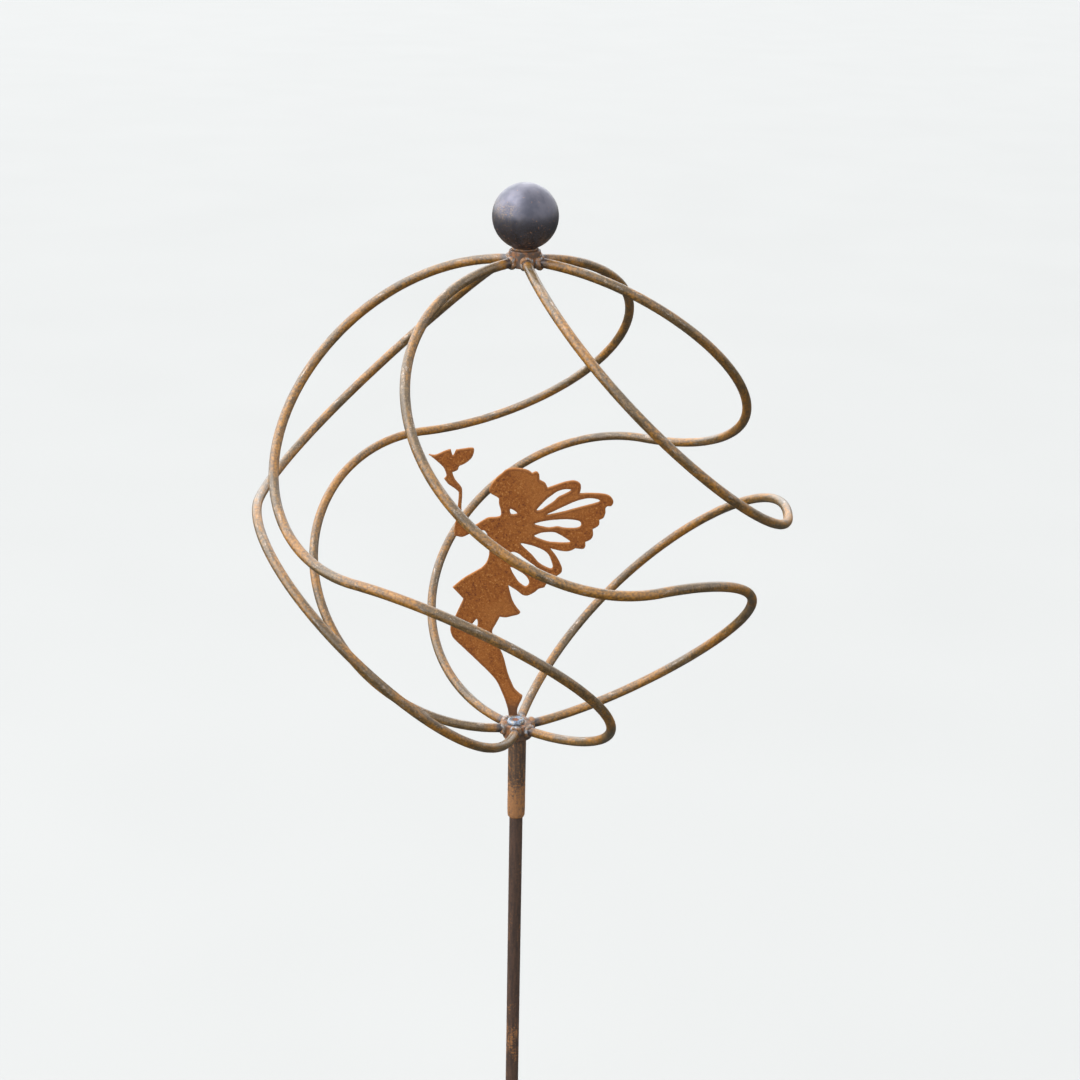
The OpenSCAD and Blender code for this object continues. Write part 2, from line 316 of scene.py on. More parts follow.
    def finish(
        self,
        ior: float,
        colour: Wire,
        rough: Wire | float,
        normal: Wire | None = None,
        metal: Wire | float = 0.0,
    ) -> bpy.types.Material:
        """Closes the tree with the surface.

        Args:
            ior: the same all over; iron's oxides are near 2.
            colour: its base colour.
            rough: its roughness.
            normal: its relief, if it has any.
            metal: how much of it is bare metal.

        Returns:
            The material.
        """
        sockets: dict[int | str, Value] = {"IOR": ior, "Base Color": colour, "Roughness": rough}
        sockets["Metallic"] = metal
        if normal is not None:
            sockets["Normal"] = normal
        surface = self.node("ShaderNodeBsdfPrincipled", {}, sockets)
        self.node("ShaderNodeOutputMaterial", {}, {"Surface": Wire(self, surface.outputs[0])})
        return self.owner


# ---------------------------------------------------------------------------------------
# Finishes
# ---------------------------------------------------------------------------------------


@dataclass(frozen=True)
class RodSteel:
    """Mill scale on bent round bar, with rust in long streaks and burnt ends."""

    scale_dark: Colour = (0.100, 0.060, 0.022)
    scale_pale: Colour = (0.205, 0.130, 0.056)
    rust_dark: Colour = (0.175, 0.076, 0.010)
    rust_pale: Colour = (0.450, 0.195, 0.022)
    burnt: Colour = (0.045, 0.050, 0.070)
    rubbed: Colour = (0.560, 0.480, 0.420)
    stretch: float = 0.26

    def material(self) -> bpy.types.Material:
        """Builds the shader from the rod's own run: along it, and round it."""
        s = Shader.called("rod_steel")
        run = s.stored("run", "Vector")
        long_run = s.scaled(run, (self.stretch, 1.0, 1.0))
        across = s.length(s.scaled(s.place(), (1.0, 1.0, 0.0)))
        clouds = s.mottle(s.scaled(run, (0.40, 1.0, 1.0)), 30 * MM, 3.0)
        streaks = s.mottle(long_run, 4.0 * MM, 3.0, 0.6)
        rubs = s.mottle(s.moved(long_run, (0.7, 0.2, 0.4)), 2.6 * MM, 3.0, 0.6)
        grain = s.mottle(run, 0.9 * MM, 3.0, 0.65)
        specks = s.mottle(s.moved(run, (0.3, 0.1, 0.2)), 2.2 * MM, 2.0, 0.6)

        rust = s.ease(clouds + streaks * 0.25 + specks * 0.20 + grain * 0.35, 0.82, 1.00)
        rub = s.ease(rubs + grain * 0.6, 0.90, 1.02) * (1 - rust * 0.5)
        near = across + (specks - 0.5) * (8 * MM)
        flush = s.ease(near, 34 * MM, 22 * MM) * s.ease(near, 17 * MM, 21 * MM)
        burn = s.ease(near, 24 * MM, 19 * MM) * s.ease(specks, 0.38, 0.50)

        scale = s.mix(s.ease(streaks * 0.5 + specks * 0.5, 0.40, 0.62), self.scale_dark, self.scale_pale)
        scale = s.shade(scale, s.blend(grain, 0.60, 1.40))
        oxide = s.mix(s.ease(specks * 0.7 + streaks * 0.4, 0.40, 0.72), self.rust_dark, self.rust_pale)
        rust = rust.most(flush)
        colour = s.mix(rust, scale, oxide)
        colour = s.mix(rub * 0.75, colour, self.rubbed)
        colour = s.mix(burn * 0.8, colour, self.burnt)
        rough = s.blend(rust, s.blend(grain, 0.22, 0.36), 0.44) - rub * 0.04
        normal = s.bump(specks + streaks * 0.5, 0.10 * MM)
        normal = s.bump(grain, 0.10 * MM, normal)
        metal = rub * 0.7 + burn * 0.3
        return s.finish(1.75, colour, rough, normal, metal)


@dataclass(frozen=True)
class PlateRust:
    """Plate that has rusted right over, coarse and mottled, with a paler cut edge."""

    deep: Colour = (0.150, 0.040, 0.012)
    body: Colour = (0.350, 0.108, 0.016)
    pale: Colour = (0.620, 0.280, 0.080)
    smooth: Colour = (0.470, 0.180, 0.044)
    foot: Colour = (0.080, 0.045, 0.028)
    foot_reach: tuple[float, float] = (8 * MM, 20 * MM)

    def material(self, node: str) -> bpy.types.Material:
        """Builds the shader from the plate's own face and its distance to the edge.

        Args:
            node: the plate's CAD node, whose foot has been scorched.

        Returns:
            The material.
        """
        s = Shader.called("rust_plate")
        at = s.place()
        _, _, height = s.parts(at)
        fields = s.mottle(at, 52 * MM, 2.0, 0.5)
        crust = s.mottle(at, 1.5 * MM, 2.0, 0.6)
        flecks = s.mottle(s.moved(at, (0.3, 0.3, 0.3)), 2.6 * MM, 3.0, 0.65)
        grit = s.mottle(at, 0.5 * MM, 2.0, 0.6)
        clots = s.grains(at, 1.7 * MM)
        calm = s.ease(fields, 0.47, 0.60)

        tone = crust * 0.60 + flecks * 0.40 + grit * 0.40 - clots * 0.12
        stops = [(0.48, self.deep), (0.62, self.body), (0.70, self.body), (0.84, self.pale)]
        rusty = s.ramp(tone, stops)
        even = s.shade(s.mix(s.ease(grit, 0.4, 0.6), self.body, self.smooth), 0.8 + crust * 0.4)
        colour = s.mix(calm * 0.75, rusty, even)
        edge = s.stored("edge", "Fac")
        wander = edge + (flecks - 0.5) * (1.0 * MM)
        groove = s.ease(wander, 2.6 * MM, 2.0 * MM) * s.ease(fields, 0.35, 0.55)
        colour = s.mix(groove * 0.40, colour, self.deep)
        rim = s.ease(wander, 1.2 * MM, 0.6 * MM)
        colour = s.mix(rim * 0.25, colour, self.pale)
        near, far = (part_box(node)[0].z + reach for reach in self.foot_reach)
        worn = s.ease(height + (flecks - 0.5) * (12 * MM), far, near)
        colour = s.mix(worn * 0.7, colour, self.foot)
        normal = s.bump(tone, 0.45 * MM)
        return s.finish(1.45, colour, s.blend(crust, 0.95, 0.70), normal)


@dataclass(frozen=True)
class BallScale:
    """A pressed hollow ball's gunmetal scale, with a few rust freckles low down and painted shade, in
    mottled brown, over its lower half.
    """

    dark: Colour = (0.105, 0.106, 0.140)
    pale: Colour = (0.165, 0.160, 0.198)
    tan: Colour = (0.340, 0.260, 0.190)
    # brown: painted shade for the lower half, standing in for the dark ground that it reflects
    brown: Colour = (0.080, 0.062, 0.052)
    freckle: Colour = (0.420, 0.170, 0.045)

    def material(self, node: str) -> bpy.types.Material:
        """Builds the shader round the ball's middle.

        Args:
            node: the ball's CAD node.

        Returns:
            The material.
        """
        middle = (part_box(node)[0].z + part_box(node)[1].z) / 2
        s = Shader.called("ball_steel")
        at = s.place()
        across, _, height = s.parts(at)
        clouds = s.mottle(at, 22 * MM, 3.0, 0.6)
        bruises = s.mottle(s.scaled(at, (1.0, 1.0, 0.6)), 5 * MM, 2.0, 0.6)
        grain = s.mottle(at, 1.1 * MM, 3.0, 0.65)
        # low: the lower half, which takes the painted shade and a few more rust freckles
        low = s.ease(height, middle + 12 * MM, middle - 24 * MM)
        side = s.ease(across, 2 * MM, -16 * MM) * s.ease(height, middle + 18 * MM, middle + 6 * MM)
        colour = s.mix(s.ease(clouds, 0.38, 0.62), self.dark, self.pale)
        bloom = side * s.ease(grain * 0.7 + bruises * 0.3, 0.46, 0.66) * (1 - low)
        colour = s.mix(bloom * 0.9, colour, self.tan)
        # Painted shade: the lower half is darkened in mottled brown, for the dark ground that it reflects
        colour = s.mix(low * s.ease(grain * 0.6 + bruises * 0.4, 0.42, 0.58) * 0.8, colour, self.brown)
        spots = s.ease(s.mottle(at, 1.9 * MM, 2.0, 0.5) + low * 0.08, 0.69, 0.76)
        colour = s.mix(spots * 0.6, colour, self.freckle)
        rough = s.blend(s.ease(bruises, 0.35, 0.65), 0.32, 0.42) + spots * 0.3
        normal = s.bump(bruises, 0.05 * MM)
        normal = s.bump(grain, 0.05 * MM, normal)
        metal = 0.8 * (1 - spots)
        return s.finish(1.9, colour, rough, normal, metal)


@dataclass(frozen=True)
class HubSteel:
    """Cut bar that has been welded all round: brown rust, orange in places, sooty edges."""

    brown: Colour = (0.105, 0.050, 0.022)
    orange: Colour = (0.300, 0.105, 0.020)
    soot: Colour = (0.040, 0.032, 0.030)

    def material(self) -> bpy.types.Material:
        """Builds the shader."""
        s = Shader.called("hub_steel")
        at = s.place()
        patches = s.mottle(at, 7 * MM, 3.0, 0.6)
        grain = s.mottle(at, 1.2 * MM, 3.0, 0.6)
        colour = s.mix(s.ease(patches + grain * 0.3, 0.56, 0.74), self.brown, self.orange)
        dark = s.ease(s.mottle(s.moved(at, (0.2, 0.5, 0.1)), 6 * MM, 2.0), 0.48, 0.60)
        colour = s.mix(dark * 0.7, colour, self.soot)
        normal = s.bump(patches * 0.5 + grain, 0.20 * MM)
        rough = s.blend(dark, 0.70, 0.45)
        return s.finish(1.9, colour, rough, normal)


@dataclass(frozen=True)
class BeadSteel:
    """A bead of weld: grey-brown skin, blued in places, rusting in its ripples."""

    name: str = "weld_bead"
    skin: Colour = (0.165, 0.115, 0.080)
    blued: Colour = (0.380, 0.410, 0.450)
    rust: Colour = (0.360, 0.150, 0.034)
    bright_share: float = 0.48

    def material(self) -> bpy.types.Material:
        """Builds the shader."""
        s = Shader.called(self.name)
        at = s.place()
        patches = s.mottle(at, 5 * MM, 2.0, 0.6)
        tints = s.mottle(s.moved(at, (0.4, 0.1, 0.6)), 4 * MM, 2.0, 0.6)
        grain = s.mottle(at, 0.8 * MM, 2.0, 0.6)
        rust = s.ease(patches + grain * 0.3, 0.56, 0.72)
        blue = s.ease(tints, 0.70 - self.bright_share * 0.4, 0.80 - self.bright_share * 0.4)
        colour = s.mix(blue, self.skin, self.blued)
        colour = s.mix(rust * 0.85, s.shade(colour, 0.7 + grain * 0.6), self.rust)
        metal = blue * (1 - rust) * 0.7 + 0.1
        rough = s.blend(rust, 0.40, 0.66)
        normal = s.bump(grain + patches * 0.6, 0.20 * MM)
        return s.finish(1.9, colour, rough, normal, metal)


@dataclass(frozen=True)
class BrightWeld:
    """The newest weld, still silver and straw-blue, with a rust spot in its hollow."""

    silver: Colour = (0.430, 0.470, 0.520)
    blue: Colour = (0.300, 0.380, 0.500)
    straw: Colour = (0.420, 0.360, 0.290)
    scorched: Colour = (0.100, 0.090, 0.100)
    rust: Colour = (0.340, 0.110, 0.040)
    hollow: float = 2.6 * MM

    def material(self, centre: tuple[float, float]) -> bpy.types.Material:
        """Builds the shader round the ring's middle.

        Args:
            centre: where the middle of the ring is.

        Returns:
            The material.
        """
        s = Shader.called("bright_weld")
        at = s.place()
        tints = s.mottle(at, 5 * MM, 2.0, 0.6)
        grain = s.mottle(at, 1.0 * MM, 2.0, 0.6)
        pits = s.mottle(s.moved(at, (0.1, 0.4, 0.2)), 1.8 * MM, 2.0, 0.6)
        colour = s.ramp(tints, [(0.40, self.straw), (0.48, self.silver), (0.60, self.blue)])
        colour = s.mix(s.ease(pits, 0.54, 0.64) * 0.8, colour, self.scorched)
        across = s.length(s.scaled(s.moved(at, (-centre[0], -centre[1], 0.0)), (1.0, 1.0, 0.0)))
        spot = s.ease(across + (grain - 0.5) * (4 * MM), self.hollow + 0.8 * MM, self.hollow)
        colour = s.mix(spot, colour, self.rust)
        rough = s.blend(spot, 0.40 + grain * 0.20, 0.75)
        normal = s.bump(grain * 0.5 - pits, 0.25 * MM)
        return s.finish(1.9, colour, rough, normal, 1 - spot)


@dataclass(frozen=True)
class RustBelt:
    """A height range where the rust has come through, and how much of it."""

    low: float
    high: float
    share: float


@dataclass(frozen=True)
class PoleSteel:
    """Dark purple-brown bar and tube, drawn marks along it, rust in belts."""

    name: str
    belts: tuple[RustBelt, ...] = ()
    dark: Colour = (0.042, 0.024, 0.018)
    brown: Colour = (0.110, 0.056, 0.036)
    rust: Colour = (0.340, 0.140, 0.036)
    rust_share: float = 0.0

    def material(self) -> bpy.types.Material:
        """Builds the shader, with the drawn marks running along Z."""
        s = Shader.called(self.name)
        at = s.place()
        _, _, height = s.parts(at)
        drawn = s.mottle(s.scaled(at, (1.0, 1.0, 0.08)), 1.6 * MM, 3.0, 0.6)
        clouds = s.mottle(s.scaled(at, (1.0, 1.0, 0.4)), 14 * MM, 3.0, 0.6)
        specks = s.mottle(at, 2.0 * MM, 3.0, 0.65)
        grain = s.mottle(at, 0.8 * MM, 2.0, 0.6)
        level = clouds * 0.45 + specks * 0.6 + drawn * 0.15 + self.rust_share
        for belt in self.belts:
            wander = height + (clouds - 0.5) * (16 * MM)
            rise = s.ease(wander, belt.low - 8 * MM, belt.low + 8 * MM)
            level = level + rise * s.ease(wander, belt.high + 16 * MM, belt.high - 16 * MM) * belt.share
        rust = s.ease(level, 0.68, 0.84)
        scale = s.mix(s.ease(drawn * 0.6 + specks * 0.5, 0.40, 0.70), self.dark, self.brown)
        scale = s.shade(scale, 0.7 + grain * 0.6)
        colour = s.mix(rust, scale, s.shade(self.rust, 0.5 + specks))
        rough = s.blend(rust, 0.36 + grain * 0.14, 0.74)
        normal = s.bump(specks + drawn * 0.5, 0.10 * MM)
        normal = s.bump(grain, 0.07 * MM, normal)
        return s.finish(1.9, colour, rough, normal)


@dataclass(frozen=True)
class BearingSteel:
    """A hardened ball, bright, with a dull track worn round it."""

    bright: Colour = (0.600, 0.600, 0.620)
    track: Colour = (0.300, 0.270, 0.240)

    def material(self) -> bpy.types.Material:
        """Builds the shader."""
        s = Shader.called("bearing_steel")
        at = s.place()
        smear = s.mottle(s.scaled(at, (1.0, 1.0, 4.0)), 4 * MM, 2.0)
        worn = s.ease(smear, 0.48, 0.62)
        colour = s.mix(worn, self.bright, self.track)
        rough = s.blend(worn, 0.14, 0.34)
        return s.finish(1.9, colour, rough, metal=1.0)


# ---------------------------------------------------------------------------------------
# Mesh work
# ---------------------------------------------------------------------------------------


def new_piece(
    name: str, points: np.ndarray, faces: Iterable[Sequence[int]], crease: float = 40.0
) -> bpy.types.Object:
    """Makes a mesh object, smooth but for its creases.

    Args:
        name: the piece's name.
        points: its corners, in metres.
        faces: its faces, as corners' numbers.
        crease: edges sharper than this many degrees stay sharp.

    Returns:
        The new piece, with its origin at the frame's.
    """
    mesh = bpy.data.meshes.new(name)
    mesh.from_pydata([tuple(p) for p in points], [], [list(f) for f in faces])
    mesh.shade_smooth()
    mesh.set_sharp_from_angle(angle=math.radians(crease))
    mesh.validate()
    piece = bpy.data.objects.new(name, mesh)
    bpy.context.scene.collection.objects.link(piece)
    return piece


def deliver(
    piece: bpy.types.Object, body: str, slot: Slot, finish: bpy.types.Material, *nodes: str
) -> bpy.types.Object:
    """Dresses a finished piece, hangs it on its body and hides the CAD nodes that it stands for.

    Args:
        piece: the piece, in place.
        body: the body that it rides on.
        slot: not used.
        finish: its material.
        nodes: the CAD nodes that it stands for.

    Returns:
        The piece.
    """
    piece.data.materials.clear()
    piece.data.materials.append(finish)
    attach(piece, body)
    if nodes:
        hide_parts(*nodes)
    log.info("%s rides on %s, %d faces", piece.name, body, len(piece.data.polygons))
    return piece


def wave(point: Vector, size: float, seed: float = 0.0) -> float:
    """Smooth noise from about -1 to 1, its waves size apart; seed moves the pattern."""
    return noise.noise(point / size + Vector((seed, 1.7 * seed, -0.9 * seed)))


def arc(centre: tuple[float, float], radius: float, start: float, end: float, steps: int) -> list:
    """Points on an arc of a lathe's profile.

    Args:
        centre: (distance from the axis, height).
        radius: the arc's radius.
        start: its first angle, in degrees from outwards towards up.
        end: its last angle.
        steps: how many parts it has.

    Returns:
        The points, both ends included.
    """
    angles = np.radians(np.linspace(start, end, steps + 1))
    return [(centre[0] + radius * math.cos(a), centre[1] + radius * math.sin(a)) for a in angles]


def graded(profile: Sequence[tuple[float, float]], step: float) -> list[tuple[float, float]]:
    """A profile with its long straight runs cut into shorter ones.

    Args:
        profile: the points.
        step: no run in the result is longer than this.

    Returns:
        The points with those between.
    """
    made = [profile[0]]
    for (r0, z0), (r1, z1) in zip(profile, profile[1:]):
        parts = max(1, math.ceil(math.hypot(r1 - r0, z1 - z0) / step))
        made += [(r0 + (r1 - r0) * k / parts, z0 + (z1 - z0) * k / parts) for k in range(1, parts + 1)]
    return made


def band(first: Sequence[int], second: Sequence[int]) -> list[list[int]]:
    """The four-cornered faces between two rings of points, each given by its numbers."""
    corners = zip(first, [*first[1:], first[0]], [*second[1:], second[0]], second)
    return [list(face) for face in corners]


def over(faces: Iterable[Sequence[int]]) -> list[list[int]]:
    """Four-cornered faces turned over, each from the same first corner."""
    return [[a, d, c, b] for a, b, c, d in faces]


def hollows(depth: float, size: float, seed: float, within: float = -1.0) -> Relief:
    """Relief of shallow hollows, as drawing or hammering leaves.

    Args:
        depth: how deep they go, in metres.
        size: how far apart they are.
        seed: moves the pattern.
        within: points no further than this from the axis stay true; below 0, none do.

    Returns:
        How far a point stands out.
    """

    def relief(point: Vector) -> float:
        """How far one point stands out."""
        return -depth * abs(wave(point, size, seed)) if point.xy.length > within else 0.0

    return relief


def disc_side(radius: float, low: float, high: float, edge: float) -> list[tuple[float, float]]:
    """A disc's side from its underside to its top, with rounded edges.

    Args:
        radius: the disc's radius.
        low: its underside's height.
        high: its top's height.
        edge: the edges' radius.

    Returns:
        The profile.
    """
    under = arc((radius - edge, low + edge), edge, -90, 0, 4)
    return under + arc((radius - edge, high - edge), edge, 0, 90, 4)


def upright(node: str) -> tuple[tuple[float, float], float]:
    """Where a round upright node's axis stands, and its radius."""
    low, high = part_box(node)
    return ((low.x + high.x) / 2, (low.y + high.y) / 2), (high.x - low.x) / 2


def turned(
    name: str,
    profile: Sequence[tuple[float, float]],
    sides: int,
    closed: bool = False,
    at: tuple[float, float] = (0.0, 0.0),
    relief: Relief | None = None,
    crease: float = 40.0,
) -> bpy.types.Object:
    """Turns a profile round an upright axis.

    Args:
        name: the piece's name.
        profile: (distance from the axis, height) from the bottom up the outside.
        sides: how many sides the turning has.
        closed: whether the last point joins the first, as on a tube.
        at: where the axis stands.
        relief: how far a point stands out from the axis, in metres.
        crease: edges sharper than this many degrees stay sharp.

    Returns:
        The piece.
    """
    points: list[Vector] = []
    rings: list[list[int]] = []
    for radius, height in profile:
        if radius == 0:
            rings.append([len(points)] * sides)
            points.append(Vector((0, 0, height)))
            continue
        rings.append(list(range(len(points), len(points) + sides)))
        for j in range(sides):
            way = Vector((math.cos(TURN * j / sides), math.sin(TURN * j / sides), 0))
            point = way * radius + Vector((0, 0, height))
            points.append(point + way * relief(point) if relief else point)
    faces = []
    for below, above in zip(rings, rings[1:] + (rings[:1] if closed else [])):
        # A ring on the axis is one point, which a face takes once
        faces += [list(dict.fromkeys(corners)) for corners in band(below, above)]
    moved = np.array(points) + np.array((*at, 0.0))
    return new_piece(name, moved, faces, crease)


@dataclass
class BeadRun:
    """One run of weld: a rippled, lumpy cord of metal that follows a line.

    The line's points each have two directions that span the bead's section there.
    """

    line: Sequence[Vector]
    first: Sequence[Vector]
    second: Sequence[Vector]
    reach: tuple[float, float]
    closed: bool = True
    ripple: float = 1.4 * MM
    lumps: float = 0.16
    seed: float = 0.0
    sides: int = 16

    def shape(self) -> tuple[list[Vector], list[list[int]]]:
        """Works out the bead's skin.

        Returns:
            Its points and faces.
        """
        count = len(self.line)
        gone = 0.0
        points: list[Vector] = []
        for i, centre in enumerate(self.line):
            if i:
                gone += (centre - self.line[i - 1]).length
            taper = 1.0
            if not self.closed:
                along = 2 * i / (count - 1) - 1
                taper = math.sqrt(max(0.02, 1 - along**4))
            for j in range(self.sides):
                turn = TURN * j / self.sides
                phase = gone / self.ripple + 0.35 * math.cos(turn)
                way = self.first[i] * math.cos(turn) + self.second[i] * math.sin(turn)
                fold = 0.10 * abs(math.sin(math.pi * phase)) - 0.05
                lump = self.lumps * wave(centre + way * MM, 3.2 * MM, self.seed)
                size = taper * (1 + fold + lump)
                points.append(
                    centre
                    + self.first[i] * (self.reach[0] * size * math.cos(turn))
                    + self.second[i] * (self.reach[1] * size * math.sin(turn))
                )
        rings = [range(i * self.sides, (i + 1) * self.sides) for i in range(count)]
        after = rings[1:] + (rings[:1] if self.closed else [])
        faces = [face for pair in zip(rings, after) for face in band(*pair)]
        if not self.closed:
            faces += [list(reversed(rings[0])), list(rings[-1])]
        return points, faces


def welded(name: str, runs: Sequence[BeadRun]) -> bpy.types.Object:
    """One piece from several runs of weld.

    Args:
        name: the piece's name.
        runs: the beads.

    Returns:
        The piece, with its faces turned outwards.
    """
    points: list[Vector] = []
    faces: list[list[int]] = []
    for run in runs:
        skin, made = run.shape()
        faces += [[len(points) + c for c in face] for face in made]
        points += skin
    piece = new_piece(name, np.array(points), faces, 60.0)
    turn_outwards(piece.data)
    return piece


def turn_outwards(mesh: bpy.types.Mesh) -> None:
    """Turns a closed mesh's faces so that they look outwards."""
    work = bmesh.new()
    work.from_mesh(mesh)
    bmesh.ops.recalc_face_normals(work, faces=work.faces)
    work.to_mesh(mesh)
    work.free()


def ring_bead(
    radius: float,
    height: float,
    reach: tuple[float, float],
    at: tuple[float, float] = (0.0, 0.0),
    steps: int = 96,
    **details: float,
) -> BeadRun:
    """A run of weld round an upright bar.

    Args:
        radius: how far its middle is from the bar's axis.
        height: its middle's height.
        reach: its half width outwards and upwards.
        at: where the axis stands.
        steps: how many sections it has.
        details: ripple, lumps and seed, as a bead run takes them.

    Returns:
        The run.
    """
    ways = [Vector((math.cos(TURN * k / steps), math.sin(TURN * k / steps), 0)) for k in range(steps)]
    middle = Vector((*at, height))
    up = [Vector((0, 0, 1))] * steps
    return BeadRun([middle + w * radius for w in ways], ways, up, reach, **details)


# ---------------------------------------------------------------------------------------
# The cage
# ---------------------------------------------------------------------------------------


@dataclass(frozen=True)
class RodSet:
    """How one rod differs from its sixth of a turn: by eye, as it was bent and welded."""

    offset: float
    wind: float
    bulge: float


@dataclass
class Cage:
    """Six round rods, each bent to a sweeping S from the top hub to the lower one."""

    mean_reach: float = 214.5 * MM
    squat: float = 7.5 * MM
    square: float = 3 * MM
    turn: float = 109.0
    ease: float = 24.0
    fall: float = 93.5
    radius: float = 4 * MM
    end_gap: float = 1.3 * MM
    rods: tuple[RodSet, ...] = (
        RodSet(-1, -1, 1.0 * MM),
        RodSet(0, 0, 0.0),
        RodSet(-5, -2, 0.0),
        RodSet(0, 0, -2.0 * MM),
        RodSet(-3, 0, 1.5 * MM),
        RodSet(-1, 2, -1.5 * MM),
    )
    sides: int = 24
    strips: int = 6
    rings_per_strip: int = 80
    dent: float = 0.035 * MM
    bead_reach: tuple[float, float] = (1.8 * MM, 2.6 * MM)
    bead_shift: float = 0.4 * MM
    bead_lumps: float = 0.50
    bead_steps: int = 60
    centre: Vector = field(init=False)
    hub_radius: float = field(init=False)
    end: float = field(init=False)

    def __post_init__(self) -> None:
        """Reads the cage's middle and its hubs from the frame."""
        heights = [corner.z for hub in ("top_hub", "lower_hub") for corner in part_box(hub)]
        self.centre = Vector((0, 0, sum(heights) / len(heights)))
        _, self.hub_radius = upright("top_hub")
        pole_reach = self.mean_reach - self.squat + self.square
        lean = math.degrees(math.acos((self.hub_radius + self.end_gap) / pole_reach))
        self.end = math.degrees(math.acos(1 - lean / self.fall)) / 90

    def point(self, rod: int, s: float) -> Vector:
        """A point on a rod's middle line.

        Args:
            rod: the rod's number, from 0.
            s: from -1 at the top pole through 0 at the waist to 1 at the lower pole.

        Returns:
            The point.
        """
        kind = self.rods[rod]
        lift = -math.copysign(self.fall * (1 - math.cos(math.radians(90 * s))), s)
        bearing = 60 * rod + kind.offset + (self.turn + kind.wind) * s - self.ease * s**3
        reach = self.mean_reach + self.squat * math.cos(math.pi * s)
        reach += self.square * math.cos(TURN * s) + kind.bulge * (1 - s**4)
        up, round_ = math.radians(lift), math.radians(bearing)
        flat = reach * math.cos(up)
        return self.centre + Vector((flat * math.cos(round_), flat * math.sin(round_), reach * math.sin(up)))

    def heading(self, rod: int, s: float) -> Vector:
        """A rod's direction, towards the lower hub."""
        return (self.point(rod, s + 0.001) - self.point(rod, s - 0.001)).normalized()

    def stations(self, rod: int, count: int) -> list[float]:
        """Values of s evenly spaced along a rod.

        Args:
            rod: the rod's number, from 0.
            count: how many stations.

        Returns:
            The values, from the top end to the lower end.
        """
        fine = np.linspace(-self.end, self.end, 1600)
        line = np.array([self.point(rod, s) for s in fine])
        gone = np.concatenate([[0.0], np.cumsum(np.linalg.norm(np.diff(line, axis=0), axis=1))])
        return list(np.interp(np.linspace(0, gone[-1], count), gone, fine))

    def bar(self, rod: int) -> bpy.types.Object:
        """Bends one rod.

        Args:
            rod: the rod's number, from 0.

        Returns:
            The rod, storing its own run and a map for its finish.
        """
        rings = self.strips * self.rings_per_strip
        points: list[Vector] = []
        run: list[tuple[float, float, float]] = []
        gone, before = 3.0 * rod, None
        for s in self.stations(rod, rings + 1):
            middle = self.point(rod, s)
            gone += (middle - before).length if before else 0.0
            before = middle
            along = self.heading(rod, s)
            side = along.cross(middle - self.centre).normalized()
            out = side.cross(along)
            for j in range(self.sides):
                a = TURN * j / self.sides
                way = out * math.cos(a) + side * math.sin(a)
                dent = self.dent * wave(middle + way * self.radius, 9 * MM, rod)
                points.append(middle + way * (self.radius + dent))
                run.append((gone, self.radius * math.cos(a), self.radius * math.sin(a)))
        rows = [range(k * self.sides, (k + 1) * self.sides) for k in range(rings + 1)]
        faces = [face for pair in zip(rows, rows[1:]) for face in over(band(*pair))]
        faces += [list(rows[0]), list(reversed(rows[-1]))]
        piece = new_piece(f"bent_rod_{rod + 1}", np.array(points), faces)
        stored = piece.data.attributes.new("run", "FLOAT_VECTOR", "POINT")
        stored.data.foreach_set("vector", np.array(run, np.float32).ravel())
        self.lay_strips(piece.data, rings)
        return piece

    def lay_strips(self, mesh: bpy.types.Mesh, rings: int) -> None:
        """Maps a rod flat in strips side by side, so that its pattern bakes sharply.

        Args:
            mesh: the rod's mesh.
            rings: how many rings of faces it has.
        """
        layer = mesh.uv_layers.new(name="OFBake")
        margin = 0.04
        for face in mesh.polygons[: rings * self.sides]:
            k, j = divmod(face.index, self.sides)
            strip, step = divmod(k, self.rings_per_strip)
            # Each face runs this ring, next ring, next ring, this ring
            for corner, (along, round_) in zip(face.loop_indices, ((0, 0), (1, 0), (1, 1), (0, 1))):
                u = (step + along) / self.rings_per_strip
                v = (strip + margin + (1 - 2 * margin) * (j + round_) / self.sides) / self.strips
                layer.data[corner].uv = (0.01 + 0.98 * u, v)

    def end_bead(self, rod: int, pole: Pole) -> BeadRun:
        """The run of weld round one rod's end, where its side meets the hub's.

        Args:
            rod: the rod's number, from 0.
            pole: which hub.

        Returns:
            The run.
        """
        s = pole.value * self.end
        middle = self.point(rod, s)
        out = self.heading(rod, s) * -pole.value
        side = out.cross(Vector((0, 0, 1))).normalized()
        up = side.cross(out)
        line, ways = [], []
        for k in range(self.bead_steps):
            a = TURN * k / self.bead_steps
            way = side * math.cos(a) + up * math.sin(a)
            start = middle + way * (self.radius + 0.1 * MM)
            # How far back along the rod its side meets the hub's round side
            flat, back = Vector(start.xy), Vector(out.xy)
            p, q = flat.dot(back), back.length_squared
            gap = p * p - q * (flat.length_squared - self.hub_radius**2)
            reach = (p - math.sqrt(max(gap, 0.0))) / q
            line.append(start + out * (self.bead_shift - min(reach, 3 * MM)))
            ways.append(way)
        seed = 3.1 * rod + (17 if pole is Pole.TOP else 0)
        along = [out] * self.bead_steps
        return BeadRun(line, ways, along, self.bead_reach, seed=seed, lumps=self.bead_lumps)

    def build(self, rod_finish: bpy.types.Material, bead_finish: bpy.types.Material) -> None:
        """Makes the rods and the beads at their ends.

        Args:
            rod_finish: the rods' material.
            bead_finish: the beads' material.
        """
        for rod in range(len(self.rods)):
            deliver(self.bar(rod), "head", Slot.ROD, rod_finish, f"cage_rod_{rod + 1}")
        for pole in Pole:
            runs = [self.end_bead(rod, pole) for rod in range(len(self.rods))]
            piece = welded(f"{pole.name.lower()}_rod_beads", runs)
            deliver(piece, "head", Slot.BEAD, bead_finish, f"{pole.name.lower()}_rod_welds")


# ---------------------------------------------------------------------------------------
# Hubs, ball and their welds
# ---------------------------------------------------------------------------------------


